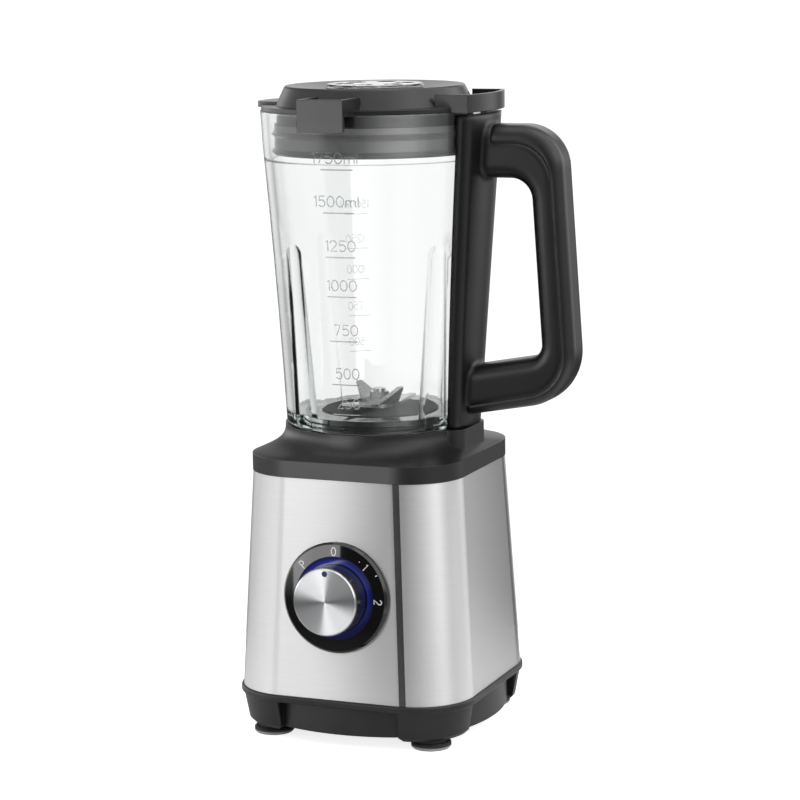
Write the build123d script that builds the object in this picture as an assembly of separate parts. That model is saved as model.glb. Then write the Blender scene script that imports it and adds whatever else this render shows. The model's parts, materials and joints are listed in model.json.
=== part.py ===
"""Countertop blender: glass jar with side handle on a tapered steel motor base.

Millimetres. +Z is up, the counter is z = 0, the dial faces -Y and the handle is at +X. The pieces are
drawn about the jar's axis and moved at the end, so that the origin is under the middle of the outline.
"""
import math
import os

from build123d import *

# Place of the jar's axis in the finished frame
axis_x = -28.3
axis_y = 4.0

# Base: feet, tray and steel wrap
foot_radius = 13.0
foot_height = 7.0
foot_lip_height = 4.4
foot_stem_radius = 4.0
foot_waist_inset = 2.5
foot_edge = 1.0
foot_offset = 55.3
tray_floor_bottom = 9.0
tray_floor_thickness = 2.5
tray_wall = 3.5
tray_lip_height = 5.0
tray_lip_overhang = 1.5
skirt_half = 79.5
skirt_corner = 62.0
pod_half = 76.0
pod_inner_edge = 41.0
pod_edge = 2.5
shell_bottom = 31.6
shell_height = 142.0
shell_half_bottom = 79.4
shell_half_top = 71.7
shell_corner_bottom = 38.0
shell_corner_top = 36.0
sheet_thickness = 1.0
seam_width = 4.4
seam_past_flat = 4.0
upstand_height = 8.0
upstand_wall = 2.5
vent_length = 34.0
vent_width = 3.0
vent_pitch = 8.0
vent_count = 7

# Top deck: band, flare and the well that takes the jar's collar
deck_overhang = 0.4
band_height = 11.0
flare_height = 16.4
flare_step = 0.7
flare_power = 4.0
flare_corner_power = 2.6
deck_rim_radius = 61.6
deck_wall = 3.5
pad_reach = 66.5
pad_width = 50.0
pad_edge_radius = 10.0
well_clearance = 2.5
pocket_floor_thickness = 4.0

# Pillars and screws that tie the tray to the deck
pillar_offset = 48.0
pillar_radius = 6.0
pillar_bottom_gap = 4.0
screw_radius = 2.0
screw_head_radius = 3.8
screw_head_height = 2.6
screw_grip = 14.0
screw_recess = 2.0

# Dial and knob, measured out from the front face
dial_height = 98.8
dial_radius = 35.8
dial_thickness = 4.0
dial_bevel = 1.4
dial_spigot_radius = 29.6
dial_spigot_depth = 6.0
light_ring_inner = 22.8
light_ring_width = 4.0
light_ring_depth = 7.0
knob_radius = 22.0
knob_length = 16.0
knob_wall = 3.0
knob_cap_thickness = 1.2
knob_cap_radius = 21.4
pointer_radius = 1.9
pointer_offset = 18.2
switch_shaft_radius = 3.0
switch_radius = 11.0
switch_depth = 13.0
switch_floor = 2.0
board_radius = 27.0
board_thickness = 1.6
board_screw_circle = 15.5
board_screw_count = 3
board_screw_radius = 1.2
board_screw_head = 1.5
board_screw_head_radius = 2.2
board_screw_floor = 1.0
led_radius = 1.5
led_count = 8
led_clearance = 0.2

# Motor
shaft_radius = 4.0
stator_width = 84.0
stator_depth = 90.0
stator_corner = 10.0
stator_frame = 8.0
stator_stack = 36.0
stator_bottom = 94.0
coil_room = 10.0
pole_neck = 24.0
pole_shoe = 4.0
pole_gap = 20.0
air_gap = 0.6
rotor_slots = 12
rotor_slot_width = 2.4
coil_build = 9.0
coil_slack = 0.6
bracket_thickness = 4.0
bracket_post_radius = 4.0
upper_post_length = 12.0
lower_post_length = 24.0
bolt_radius = 1.8
bearing_outer = 9.5
bearing_length = 6.5
bearing_cup_wall = 3.0
commutator_radius = 13.0
commutator_length = 13.0
brush_width = 8.0
brush_length = 14.0
brush_height = 6.0
holder_wall = 2.0
holder_length = 18.0
mount_radius = 7.5
mount_height = 6.0
mount_x = 22.0
motor_screw_radius = 1.8
fan_radius = 34.0
fan_hub_radius = 9.0
fan_height = 12.0
fan_plate = 2.0
fan_blades = 9
fan_blade_thickness = 1.6
fan_gap = 4.0

# Clutch between the motor and the blades
jaw_count = 6
jaw_angle = 24.0
jaw_height = 8.0
jaw_inner = 9.5
coupler_radius = 18.0
coupler_disc = 6.0
clutch_gap = 2.5
seal_radius = 8.0

# Jar
jar_height = 203.0
rim_gap = 0.5
jar_radius_bottom = 60.8
jar_rim_band = 23.0
jar_radius_shoulder = 72.8
jar_radius_rim = 74.0
jar_belly = 0.8
jar_bottom_edge = 2.5
jar_wall = 5.8
jar_rim_wall = 4.6
ledge_clearance = 3.5
jar_floor = 7.8
neck_height = 12.0
neck_radius = 45.0
neck_bore = 38.0
flute_count = 4
flute_angle = -31.5
flute_radius = 12.0
flute_depth = 4.5
flute_depth_top = 1.4
flute_top = 112.0
flute_start = 20.0
spout_reach = 4.2
spout_radius = 26.0
spout_depth = 22.0
spout_root_radius = 8.0

# Blade unit under and inside the jar
gasket_thickness = 1.5
holder_flange = 3.5
holder_rise = 0.6
holder_recess_radius = 27.0
holder_roof = 10.0
collar_flange = 4.0
collar_wall = 7.7
bush_wall = 2.0
bush_length = 4.6
blade_thickness = 1.8
blade_width = 15.0
blade_tip_width = 2.0
blade_tip_shift = 4.5
blade_root = 11.0
lower_blade_reach = 20.0
lower_blade_tilt = 8.0
lower_blade_turn = 55.0
upper_blade_reach = 14.5
upper_blade_tilt = 50.0
upper_blade_turn = -35.0
blade_hub_radius = 9.0
washer_thickness = 1.0
nut_radius = 6.6
nut_height = 5.5
shaft_stub = 2.0

# Handle
column_top_gap = 2.0
column_cover = 7.6
column_half_bottom = 22.8
column_half_top = 30.3
column_edge_radius = 6.0
column_foot_inset = 2.0
handle_width = 28.0
handle_round = 8.0
handle_top_drop = 8.7
handle_bottom_rise = 9.0
arm_rise = 0.18
grip_reach_top = 128.8
grip_lean = 10.9
upper_arm = 33.8
lower_arm = 31.0
grip_thickness = 22.1
outer_bend_top = 28.0
outer_bend_bottom = 36.0
inner_bend_top = 14.0
inner_bend_bottom = 9.0
cover_top = 11.5
cover_grip = 7.5
cover_bottom = 6.0
cover_start = 84.0
cover_bend_top = 24.0
cover_bend_bottom = 27.0
handle_screw_radius = 1.8
handle_screw_spacing = 70.0

# Lid
flange_radius = 73.3
flange_thickness = 3.0
lid_wall = 2.6
dome_base_radius = 63.9
dome_top_radius = 57.5
dome_height = 12.3
dome_edge = 0.9
dish_drop = 3.2
plug_depth = 27.5
plug_radius = 63.6
seal_gap = 0.4
seal_band = 4.0
seal_spacing = 11.0
seal_thickness = 1.5
flap_reach = 78.5
flap_half = 20.0
flap_corner = 13.0
flap_lift = 1.2
flap_thickness = 3.6
tab_width = 31.0
tab_reach = 89.0
tab_top = 10.7
tab_drop = 9.5
tab_wall = 2.6
tray_reach = 83.5
tray_half = 33.5
tray_rise = 8.2

# Filler cap
cap_radius = 31.6
cap_height = 5.6
cap_proud = 0.8
cap_wall = 2.5
cap_skirt_radius = 28.2
cap_skirt = 20.0
cap_clearance = 0.4
cap_edge = 1.2
dimple_count = 6
dimple_circle = 19.5
dimple_radius = 6.6
dimple_depth = 2.2

# Jar switch
plunger_x = 61.5
plunger_radius = 2.5
plunger_travel = 1.5
microswitch_length = 20.0
microswitch_width = 12.0
microswitch_height = 13.0

# Cord inlet
gland_bore = 3.6
gland_wall = 1.8
gland_flange = 2.4
gland_flange_rim = 2.2

# Fits
running_gap = 0.05
slip_gap = 0.3
free_gap = 0.5

# How far a cut or a joined block runs past a face
past = 1.0

# Levels and places worked out from the sizes above
shell_top = shell_bottom + shell_height
deck_band_top = shell_top + band_height
deck_top = deck_band_top + flare_height
jar_bottom = deck_top + rim_gap
jar_top = jar_bottom + jar_height
jar_shoulder_height = jar_height - jar_rim_band
jar_ledge_height = jar_height - plug_depth - ledge_clearance
neck_bottom = jar_bottom - neck_height
gasket_bottom = neck_bottom - gasket_thickness
holder_bottom = gasket_bottom - holder_flange
seat_level = holder_bottom - collar_flange
collar_radius = neck_radius + slip_gap + collar_wall
well_radius = collar_radius + well_clearance
jaw_bottom = seat_level + clutch_gap
jaw_top = jaw_bottom + jaw_height
drive_disc_bottom = jaw_bottom - coupler_disc
pocket_floor = drive_disc_bottom - clutch_gap
pocket_radius = coupler_radius + clutch_gap
deck_ceiling = seat_level - deck_wall
jar_floor_level = jar_bottom + jar_floor
holder_top = jar_floor_level + holder_rise
blade_level = holder_top + free_gap + washer_thickness
blade_shaft_top = blade_level + 2 * blade_thickness + nut_height + shaft_stub
stator_top = stator_bottom + stator_stack
stator_bore = stator_depth / 2 - stator_frame - coil_room - pole_shoe
upper_bracket_bottom = stator_top + upper_post_length
upper_bracket_top = upper_bracket_bottom + bracket_thickness
lower_bracket_top = stator_bottom - lower_post_length
lower_bracket_bottom = lower_bracket_top - bracket_thickness
fan_top = lower_bracket_bottom - bearing_length - bearing_cup_wall - fan_gap
fan_bottom = fan_top - fan_height
mount_y = stator_depth / 2 - stator_frame / 2
bolt_x = stator_width / 2 - stator_frame / 2
bolt_y = stator_depth / 2 - stator_frame / 2
pillar_bottom = shell_bottom + pillar_bottom_gap
tray_floor_top = tray_floor_bottom + tray_floor_thickness
tray_lip_bottom = shell_bottom - tray_lip_height
gland_height = (tray_floor_bottom + tray_lip_bottom) / 2
screw_head_bottom = foot_height + screw_recess
lid_seat = jar_top
flange_top = lid_seat + flange_thickness
dome_top = flange_top + dome_height
cap_top = dome_top + cap_proud
cap_seat = cap_top - cap_height
shell_slope = (shell_half_bottom - shell_half_top) / shell_height
face_tilt = math.degrees(math.atan(shell_slope))


def shell_half(z):
    """Half the width of the steel wrap at a height."""
    return shell_half_bottom - shell_slope * (z - shell_bottom)


def shell_corner(z):
    """Corner radius of the steel wrap at a height."""
    share = (z - shell_bottom) / shell_height
    return shell_corner_bottom + share * (shell_corner_top - shell_corner_bottom)


def jar_radius(z):
    """Outside radius of the glass at a height, without flutes or spout."""
    height = z - jar_bottom
    if height > jar_shoulder_height:
        share = (height - jar_shoulder_height) / (jar_height - jar_shoulder_height)
        return jar_radius_shoulder + share * (jar_radius_rim - jar_radius_shoulder)
    share = height / jar_shoulder_height
    straight = jar_radius_bottom + share * (jar_radius_shoulder - jar_radius_bottom)
    return straight - 4 * jar_belly * share * (1 - share)


def ring(outer, inner, bottom, top):
    """Plain upright ring between two heights."""
    return Pos(0, 0, bottom) * extrude(Circle(outer) - Circle(inner), top - bottom)


def post(radius, bottom, top, x=0.0, y=0.0):
    """Plain upright cylinder between two heights."""
    return Pos(x, y, bottom) * extrude(Circle(radius), top - bottom)


def slab(sketch, bottom, top):
    """A plan outline raised between two heights."""
    return Pos(0, 0, bottom) * extrude(sketch, top - bottom)


def turned(outline):
    """A closed radius and height outline turned about the upright axis."""
    return revolve(Plane.XZ * make_face(outline), Axis.Z)


def turned_points(*points):
    """Turned solid from straight radius and height points."""
    return turned(Polyline(*points, close=True))


def squared(half, corner, z):
    """Rounded square at a height."""
    return Pos(0, 0, z) * RectangleRounded(2 * half, 2 * half, corner)


def at_corners(x, y, make):
    """One copy of a piece at each of the four mirrored places."""
    return [make(sx * x, sy * y) for sx in (-1, 1) for sy in (-1, 1)]


def wrap(bottom, top, inset):
    """Tapered rounded-square block inside the steel wrap's outer face by an inset."""
    sections = [squared(shell_half(z) - inset, shell_corner(z) - inset, z) for z in (bottom, top)]
    return loft(sections, ruled=True)


def wrap_ring(bottom, top, inset, wall):
    """Tapered rounded-square ring inside the steel wrap's outer face."""
    return wrap(bottom, top, inset) - wrap(bottom, top, inset + wall)


def bowed_square(middle, corner):
    """Square whose four sides bow out between its corners."""
    side = ThreePointArc((-corner, -corner), (0, -middle), (corner, -corner))
    sides = Curve() + [Rot(0, 0, 90 * turn) * side for turn in range(4)]
    return make_face(sides.edges())


def make_foot(x, y):
    """Rubber foot: a wide lip on the counter, a waist and a stem in the tray."""
    waist = foot_radius - foot_waist_inset
    edge = foot_edge
    outline = [
        (0, 0), (foot_radius - edge, 0), (foot_radius, edge), (foot_radius, foot_lip_height - edge),
        (foot_radius - edge, foot_lip_height), (waist, foot_lip_height), (waist, foot_height),
        (foot_stem_radius, foot_height), (foot_stem_radius, tray_floor_top), (0, tray_floor_top),
    ]
    return Pos(x, y, 0) * turned_points(*outline)


def make_bottom_tray():
    """Moulded tray: lip under the steel, bowed skirt, corner pods, vents and screw bosses."""
    lip_bottom = tray_lip_bottom
    lip_half = shell_half_bottom + tray_lip_overhang
    lip_corner = shell_corner_bottom + tray_lip_overhang
    lip = slab(RectangleRounded(2 * lip_half, 2 * lip_half, lip_corner), lip_bottom, shell_bottom)
    lip_edges = lip.edges().filter_by(Plane.XY)
    lip = fillet(lip_edges, 0.3 * tray_lip_height)
    skirt = slab(bowed_square(skirt_half, skirt_corner), tray_floor_bottom, lip_bottom + past)
    pod_corner = shell_corner_bottom - (shell_half_bottom - pod_half)
    edge_z = foot_height + pod_edge
    body = loft([
        squared(pod_half - pod_edge, pod_corner - pod_edge, foot_height),
        squared(pod_half, pod_corner, edge_z),
        squared(shell_half_bottom, shell_corner_bottom, lip_bottom + past),
    ], ruled=True)
    pod_size = shell_half_bottom + tray_lip_overhang - pod_inner_edge
    pod_middle = pod_inner_edge + pod_size / 2
    pod_foot = pod_size - 2 * pod_edge
    block = loft([
        Pos(0, 0, foot_height) * RectangleRounded(pod_foot, pod_foot, pod_edge),
        Pos(0, 0, edge_z) * RectangleRounded(pod_size, pod_size, 2 * pod_edge),
        Pos(0, 0, lip_bottom + past) * RectangleRounded(pod_size, pod_size, 2 * pod_edge),
    ], ruled=True)
    pods = body & (Part() + at_corners(pod_middle, pod_middle, lambda x, y: Pos(x, y, 0) * block))
    tray = lip + skirt + pods
    inside = bowed_square(skirt_half - tray_wall, skirt_corner - tray_wall)
    tray -= slab(inside, tray_floor_top, shell_bottom + past)
    tray += wrap_ring(lip_bottom + past, shell_bottom + upstand_height, sheet_thickness + slip_gap,
                      upstand_wall)
    tray += at_corners(pillar_offset, pillar_offset,
                       lambda x, y: post(pillar_radius, tray_floor_top - past, pillar_bottom, x, y))
    head_top = screw_head_bottom + screw_head_height
    cuts = at_corners(pillar_offset, pillar_offset,
                      lambda x, y: post(screw_radius + slip_gap, 0, pillar_bottom + past, x, y))
    cuts += at_corners(pillar_offset, pillar_offset,
                       lambda x, y: post(screw_head_radius + slip_gap, 0, head_top, x, y))
    cuts += at_corners(foot_offset, foot_offset,
                       lambda x, y: post(foot_stem_radius, 0, tray_floor_top + past, x, y))
    slot = SlotOverall(vent_length, vent_width, rotation=90)
    cuts += [slab(Pos(vent_pitch * (i - (vent_count - 1) / 2), 0) * slot, 0, tray_floor_top + past)
             for i in range(vent_count)]
    gland_hole = Rot(-90, 0, 0) * extrude(Circle(gland_bore + gland_wall), skirt_half + past)
    cuts.append(Pos(0, 0, gland_height) * gland_hole)
    return tray - (Part() + cuts)


def make_cord_gland():
    """Flanged bush for the mains lead, through the rear wall of the tray."""
    sleeve = Circle(gland_bore + gland_wall) - Circle(gland_bore)
    flange = Circle(gland_bore + gland_wall + gland_flange_rim) - Circle(gland_bore)
    bush = extrude(sleeve, tray_wall)
    bush += Pos(0, 0, tray_wall) * extrude(flange, gland_flange)
    return Pos(0, skirt_half - tray_wall, gland_height) * Rot(-90, 0, 0) * bush


def seam_bar():
    """Upright bar through the front wall where the two ends of the sheet meet."""
    depth = 3 * sheet_thickness
    sections = []
    for z in (shell_bottom, shell_top):
        x = shell_half(z) - shell_corner(z) + seam_past_flat
        sections.append(Pos(x, -shell_half(z) + depth / 2, z) * Rectangle(seam_width, 2 * depth))
    return loft(sections, ruled=True)


def dial_place():
    """Frame of the dial: on the front face, its z axis along the face's outward normal."""
    tilt = math.radians(face_tilt)
    normal = (0, -math.cos(tilt), math.sin(tilt))
    return Plane((0, -shell_half(dial_height), dial_height), (1, 0, 0), normal).location


def make_steel_shell():
    """Sheet steel wrap, open at the top and bottom, with the dial's hole and the seam."""
    sheet = wrap_ring(shell_bottom, shell_top, 0, sheet_thickness)
    hole_depth = 4 * sheet_thickness
    hole = Pos(0, 0, -hole_depth / 2) * extrude(Circle(dial_spigot_radius + slip_gap), hole_depth)
    return sheet - seam_bar() - dial_place() * hole


def make_seam_strip():
    """Dark strip that fills the seam of the wrap."""
    return wrap_ring(shell_bottom, shell_top, 0, sheet_thickness) & seam_bar()


def make_top_deck():
    """Moulded deck: band over the steel, flare to a round rim, well, pocket, posts and pillars."""
    half = shell_half_top + deck_overhang
    corner = shell_corner_top + deck_overhang
    band = slab(RectangleRounded(2 * half, 2 * half, corner), shell_top, deck_band_top)
    sections = []
    for share in (0, 0.26, 0.56, 1):
        spread = (1 - share) ** flare_power
        roundness = 1 - (1 - share) ** flare_corner_power
        section_half = deck_rim_radius + spread * (half - flare_step - deck_rim_radius)
        section_corner = corner - flare_step + roundness * (deck_rim_radius - corner)
        sections.append(squared(section_half, section_corner, deck_band_top + share * flare_height))
    flare = loft(sections)
    pad_length = pad_reach - deck_rim_radius / 2
    pad_centre = (pad_reach + deck_rim_radius / 2) / 2
    pad = slab(Pos(pad_centre, 0) * RectangleRounded(pad_length, pad_width, pad_edge_radius),
               deck_band_top - past, deck_top)
    deck = band + flare + pad
    hollow_top = deck_band_top - deck_wall
    hollow = slab(RectangleRounded(2 * (half - deck_wall), 2 * (half - deck_wall), corner - deck_wall),
                  shell_top, hollow_top)
    deck -= hollow - post(well_radius + deck_wall, deck_ceiling, hollow_top)
    deck += post(pocket_radius + deck_wall, pocket_floor - pocket_floor_thickness, seat_level)
    deck += wrap_ring(shell_top - upstand_height, shell_top + deck_wall, sheet_thickness + slip_gap,
                      upstand_wall)
    deck += at_corners(mount_x, mount_y,
                       lambda x, y: post(mount_radius, upper_bracket_top + mount_height, seat_level, x, y))
    deck += at_corners(pillar_offset, pillar_offset,
                       lambda x, y: post(pillar_radius, pillar_bottom, deck_band_top - past, x, y))
    cuts = [post(well_radius, seat_level, deck_top + past)]
    cuts.append(post(pocket_radius, pocket_floor, seat_level + past))
    cuts.append(post(seal_radius, pocket_floor - pocket_floor_thickness - past, pocket_floor + past))
    cuts.append(post(plunger_radius + slip_gap, shell_top, deck_top + past, plunger_x))
    cuts += at_corners(mount_x, mount_y,
                       lambda x, y: post(motor_screw_radius, upper_bracket_top, deck_ceiling, x, y))
    thread_end = pillar_bottom + screw_grip
    cuts += at_corners(pillar_offset, pillar_offset,
                       lambda x, y: post(screw_radius, pillar_bottom - past, thread_end, x, y))
    return deck - (Part() + cuts)


def make_tray_screws():
    """Four screws from under the tray into the deck's pillars."""
    head = post(screw_head_radius, screw_head_bottom, screw_head_bottom + screw_head_height)
    screw = head + post(screw_radius, screw_head_bottom, pillar_bottom + screw_grip)
    return Part() + at_corners(pillar_offset, pillar_offset, lambda x, y: Pos(x, y, 0) * screw)


def make_dial_plate():
    """Gloss disc with a bevelled edge, a groove for the light ring and a spigot through the steel."""
    plate = extrude(Circle(dial_radius), dial_thickness)
    plate = chamfer(plate.edges().sort_by(Axis.Z)[-1], dial_bevel)
    plate += Pos(0, 0, -dial_spigot_depth) * extrude(Circle(dial_spigot_radius), dial_spigot_depth)
    outer = light_ring_inner + light_ring_width
    groove_floor = dial_thickness - light_ring_depth
    plate -= Pos(0, 0, groove_floor) * extrude(Circle(outer) - Circle(light_ring_inner), light_ring_depth)
    full_depth = dial_spigot_depth + dial_thickness
    back = Pos(0, 0, -dial_spigot_depth)
    plate -= back * extrude(Circle(switch_shaft_radius + free_gap), full_depth)
    led_hole = back * extrude(Circle(led_radius + led_clearance), dial_spigot_depth)
    plate -= [place * led_hole for place in led_places()]
    screw_hole = back * extrude(Circle(board_screw_radius), dial_spigot_depth - board_screw_floor)
    plate -= [place * screw_hole for place in board_screw_places()]
    return dial_place() * plate


def led_places():
    """Places of the lamps under the middle of the light ring."""
    return PolarLocations(light_ring_inner + light_ring_width / 2, led_count)


def board_screw_places():
    """Places of the screws that hold the board."""
    return PolarLocations(board_screw_circle, board_screw_count, 90)


def make_light_ring():
    """Translucent ring set in the dial's groove, a little proud of it."""
    outer = light_ring_inner + light_ring_width
    groove_floor = dial_thickness - light_ring_depth
    body = extrude(Circle(outer) - Circle(light_ring_inner), light_ring_depth + led_clearance)
    return dial_place() * Pos(0, 0, groove_floor) * body


def make_control_board():
    """Round circuit board on the back of the dial's spigot."""
    board = extrude(Circle(board_radius) - Circle(switch_shaft_radius + free_gap), board_thickness)
    hole = extrude(Circle(board_screw_radius + slip_gap), board_thickness)
    board -= [place * hole for place in board_screw_places()]
    return dial_place() * Pos(0, 0, -dial_spigot_depth - board_thickness) * board


def make_ring_leds():
    """Lamps on the board, one under each hole of the dial's spigot."""
    lamp_height = dial_thickness - light_ring_depth + dial_spigot_depth - led_clearance
    lamp = Pos(0, 0, -dial_spigot_depth) * extrude(Circle(led_radius), lamp_height)
    return dial_place() * (Part() + [place * lamp for place in led_places()])


def make_board_screws():
    """Three small screws through the board into the dial."""
    back = -dial_spigot_depth - board_thickness
    head = Pos(0, 0, back - board_screw_head) * extrude(Circle(board_screw_head_radius), board_screw_head)
    shank = extrude(Circle(board_screw_radius), board_thickness + dial_spigot_depth - board_screw_floor)
    screw = head + Pos(0, 0, back) * shank
    return dial_place() * (Part() + [place * screw for place in board_screw_places()])


def make_rotary_switch():
    """Round rotary switch on the back of the board, bored for the knob's shaft."""
    back = -dial_spigot_depth - board_thickness - switch_depth
    body = extrude(Circle(switch_radius), switch_depth)
    body -= Pos(0, 0, switch_floor) * extrude(Circle(switch_shaft_radius + running_gap), switch_depth)
    return dial_place() * Pos(0, 0, back) * body


def make_switch_shaft():
    """Shaft from the rotary switch out to the knob."""
    back = -dial_spigot_depth - board_thickness - switch_depth + switch_floor + slip_gap
    front = dial_thickness + knob_length - knob_wall
    return dial_place() * Pos(0, 0, back) * extrude(Circle(switch_shaft_radius), front - back)


def make_knob_body():
    """Round knob, hollow behind, with a hub on the shaft."""
    length = knob_length - knob_cap_thickness - free_gap
    knob = extrude(Circle(knob_radius), length)
    roof = knob_wall - knob_cap_thickness
    knob -= extrude(Circle(knob_radius - knob_wall) - Circle(2 * switch_shaft_radius), length - roof)
    knob -= extrude(Circle(switch_shaft_radius), length - roof)
    return dial_place() * Pos(0, 0, dial_thickness + free_gap) * knob


def make_knob_cap():
    """Spun aluminium face of the knob, with a hole for the pointer."""
    cap = extrude(Circle(knob_cap_radius), knob_cap_thickness)
    cap = chamfer(cap.edges().sort_by(Axis.Z)[-1], 0.5 * knob_cap_thickness)
    cap -= Pos(0, pointer_offset) * extrude(Circle(pointer_radius), knob_cap_thickness)
    return dial_place() * Pos(0, 0, dial_thickness + knob_length - knob_cap_thickness) * cap


def make_knob_pointer():
    """Round inlay in the knob's face that points at the setting."""
    dot = Pos(0, pointer_offset) * extrude(Circle(pointer_radius), knob_cap_thickness)
    return dial_place() * Pos(0, 0, dial_thickness + knob_length - knob_cap_thickness) * dot


def make_motor_stator():
    """Stack of field laminations: a frame with two poles about the rotor."""
    frame = RectangleRounded(stator_width, stator_depth, stator_corner)
    frame -= Rectangle(stator_width - 2 * stator_frame, stator_depth - 2 * stator_frame)
    shoes = Circle(stator_bore + pole_shoe) - Rectangle(stator_width, pole_gap)
    plan = frame + Rectangle(pole_neck, stator_depth - stator_frame) + shoes
    plan -= Circle(stator_bore)
    plan -= at_corners(bolt_x, bolt_y, lambda x, y: Pos(x, y) * Circle(bolt_radius + running_gap))
    return slab(plan, stator_bottom, stator_top)


def make_field_coils():
    """Two copper coils, one round each pole of the stator."""
    inside = stator_bore + pole_shoe + coil_slack
    outside = stator_depth / 2 - stator_frame - coil_slack
    opening_width = pole_neck + 2 * coil_slack
    opening_height = stator_stack + 2 * coil_slack
    loop = RectangleRounded(opening_width + 2 * coil_build, opening_height + 2 * coil_build, coil_build)
    loop -= RectangleRounded(opening_width, opening_height, 0.5 * coil_slack)
    coil = Rot(90, 0, 0) * extrude(loop, outside - inside)
    middle = stator_bottom + stator_stack / 2
    return Part() + [Pos(0, -inside, middle) * coil, Pos(0, outside, middle) * coil]


def bracket_plan():
    """Outline of a motor bracket: a frame with a cross bar and a hub."""
    plan = RectangleRounded(stator_width, stator_depth, stator_corner)
    plan -= Rectangle(stator_width - 2 * stator_frame, stator_depth - 2 * stator_frame)
    plan += Rectangle(stator_width - stator_frame, brush_width + 4 * holder_wall)
    plan += Circle(bearing_outer + bearing_cup_wall)
    return plan - at_corners(bolt_x, bolt_y, lambda x, y: Pos(x, y) * Circle(bolt_radius + running_gap))


def bracket_posts(bottom, top):
    """Four hollow posts between a bracket and the stator."""
    tube = ring(bracket_post_radius, bolt_radius + running_gap, bottom, top)
    return at_corners(bolt_x, bolt_y, lambda x, y: Pos(x, y, 0) * tube)


def make_motor_upper_bracket():
    """Cast bracket over the stator, with the upper bearing's cup and four mounting holes."""
    plan = bracket_plan()
    plan -= at_corners(mount_x, mount_y, lambda x, y: Pos(x, y) * Circle(motor_screw_radius + slip_gap))
    bracket = slab(plan, upper_bracket_bottom, upper_bracket_top)
    bracket += bracket_posts(stator_top, upper_bracket_bottom)
    bracket += post(bearing_outer + bearing_cup_wall, upper_bracket_bottom,
                    upper_bracket_bottom + bearing_length + bearing_cup_wall)
    bracket -= post(bearing_outer, upper_bracket_bottom - past, upper_bracket_bottom + bearing_length)
    return bracket - post(shaft_radius + free_gap, upper_bracket_bottom, upper_bracket_top + bearing_length)


def make_motor_lower_bracket():
    """Cast bracket under the stator that carries the lower bearing and the brushes."""
    bracket = slab(bracket_plan(), lower_bracket_bottom, lower_bracket_top)
    bracket += bracket_posts(lower_bracket_top, stator_bottom)
    cup_bottom = lower_bracket_bottom - bearing_length - bearing_cup_wall
    bracket += post(bearing_outer + bearing_cup_wall, cup_bottom, lower_bracket_bottom)
    bracket -= post(bearing_outer, cup_bottom + bearing_cup_wall, lower_bracket_top + past)
    return bracket - post(shaft_radius + free_gap, cup_bottom - past, lower_bracket_bottom)


def make_bearing(bottom):
    """Plain bearing ring on the motor's shaft."""
    return ring(bearing_outer, shaft_radius + running_gap, bottom, bottom + bearing_length)


def make_stator_bolts():
    """Four long bolts that clamp the brackets to the stator."""
    head = post(2 * bolt_radius, lower_bracket_bottom - 2 * bolt_radius, lower_bracket_bottom)
    bolt = head + post(bolt_radius, lower_bracket_bottom, upper_bracket_top)
    return Part() + at_corners(bolt_x, bolt_y, lambda x, y: Pos(x, y, 0) * bolt)


def make_motor_mounts():
    """Four rubber rings between the motor and the deck's posts."""
    rubber = ring(mount_radius, motor_screw_radius + slip_gap, upper_bracket_top,
                  upper_bracket_top + mount_height)
    return Part() + at_corners(mount_x, mount_y, lambda x, y: Pos(x, y, 0) * rubber)


def make_motor_screws():
    """Four screws through the upper bracket and the mounts into the deck's posts."""
    head = post(2 * motor_screw_radius, upper_bracket_bottom - motor_screw_radius, upper_bracket_bottom)
    screw = head + post(motor_screw_radius, upper_bracket_bottom, upper_bracket_top + 2 * mount_height)
    return Part() + at_corners(mount_x, mount_y, lambda x, y: Pos(x, y, 0) * screw)


def brush_level():
    """Height of the brushes' underside, on the holders' floor."""
    return lower_bracket_top + holder_wall


def make_brush_holders():
    """Two square moulded tubes on the lower bracket, one each side of the commutator."""
    start = commutator_radius + 2 * slip_gap
    body = Box(holder_length, brush_width + 2 * holder_wall, brush_height + 2 * holder_wall,
               align=(Align.MIN, Align.CENTER, Align.MIN))
    body -= Pos(0, 0, holder_wall) * Box(holder_length - holder_wall, brush_width, brush_height,
                                         align=(Align.MIN, Align.CENTER, Align.MIN))
    holder = Pos(start, 0, lower_bracket_top) * body
    return Part() + [holder, Rot(0, 0, 180) * holder]


def make_carbon_brushes():
    """Two carbon blocks that bear on the commutator."""
    block = Pos(0, 0, brush_level()) * Box(commutator_radius + brush_length, brush_width, brush_height,
                                           align=(Align.MIN, Align.CENTER, Align.MIN))
    brush = block - post(commutator_radius + running_gap, brush_level(), brush_level() + brush_height)
    return Part() + [brush, Rot(0, 0, 180) * brush]


def make_rotor_shaft():
    """Motor shaft from under the fan up to the clutch."""
    return post(shaft_radius, fan_bottom, jaw_bottom)


def make_rotor_core():
    """Slotted laminations of the rotor."""
    slot = Pos(stator_bore - air_gap, 0) * Rectangle(stator_bore / 2, rotor_slot_width)
    plan = Circle(stator_bore - air_gap) - Circle(shaft_radius)
    plan -= [Rot(0, 0, 360 / rotor_slots * i) * slot for i in range(rotor_slots)]
    return slab(plan, stator_bottom, stator_top)


def make_rotor_windings():
    """Wound ends of the rotor, above and below its core."""
    outer = stator_bore - 4 * air_gap
    rise = 0.5 * upper_post_length
    end = turned_points((shaft_radius, 0), (outer, 0), (outer, 0.5 * rise), (0.7 * outer, rise),
                        (shaft_radius, rise))
    drop = mirror(end, Plane.XY)
    return Part() + [Pos(0, 0, stator_top) * end, Pos(0, 0, stator_bottom) * drop]


def make_commutator():
    """Copper cylinder under the brushes."""
    return ring(commutator_radius, shaft_radius, lower_bracket_top + slip_gap,
                lower_bracket_top + commutator_length)


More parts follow.
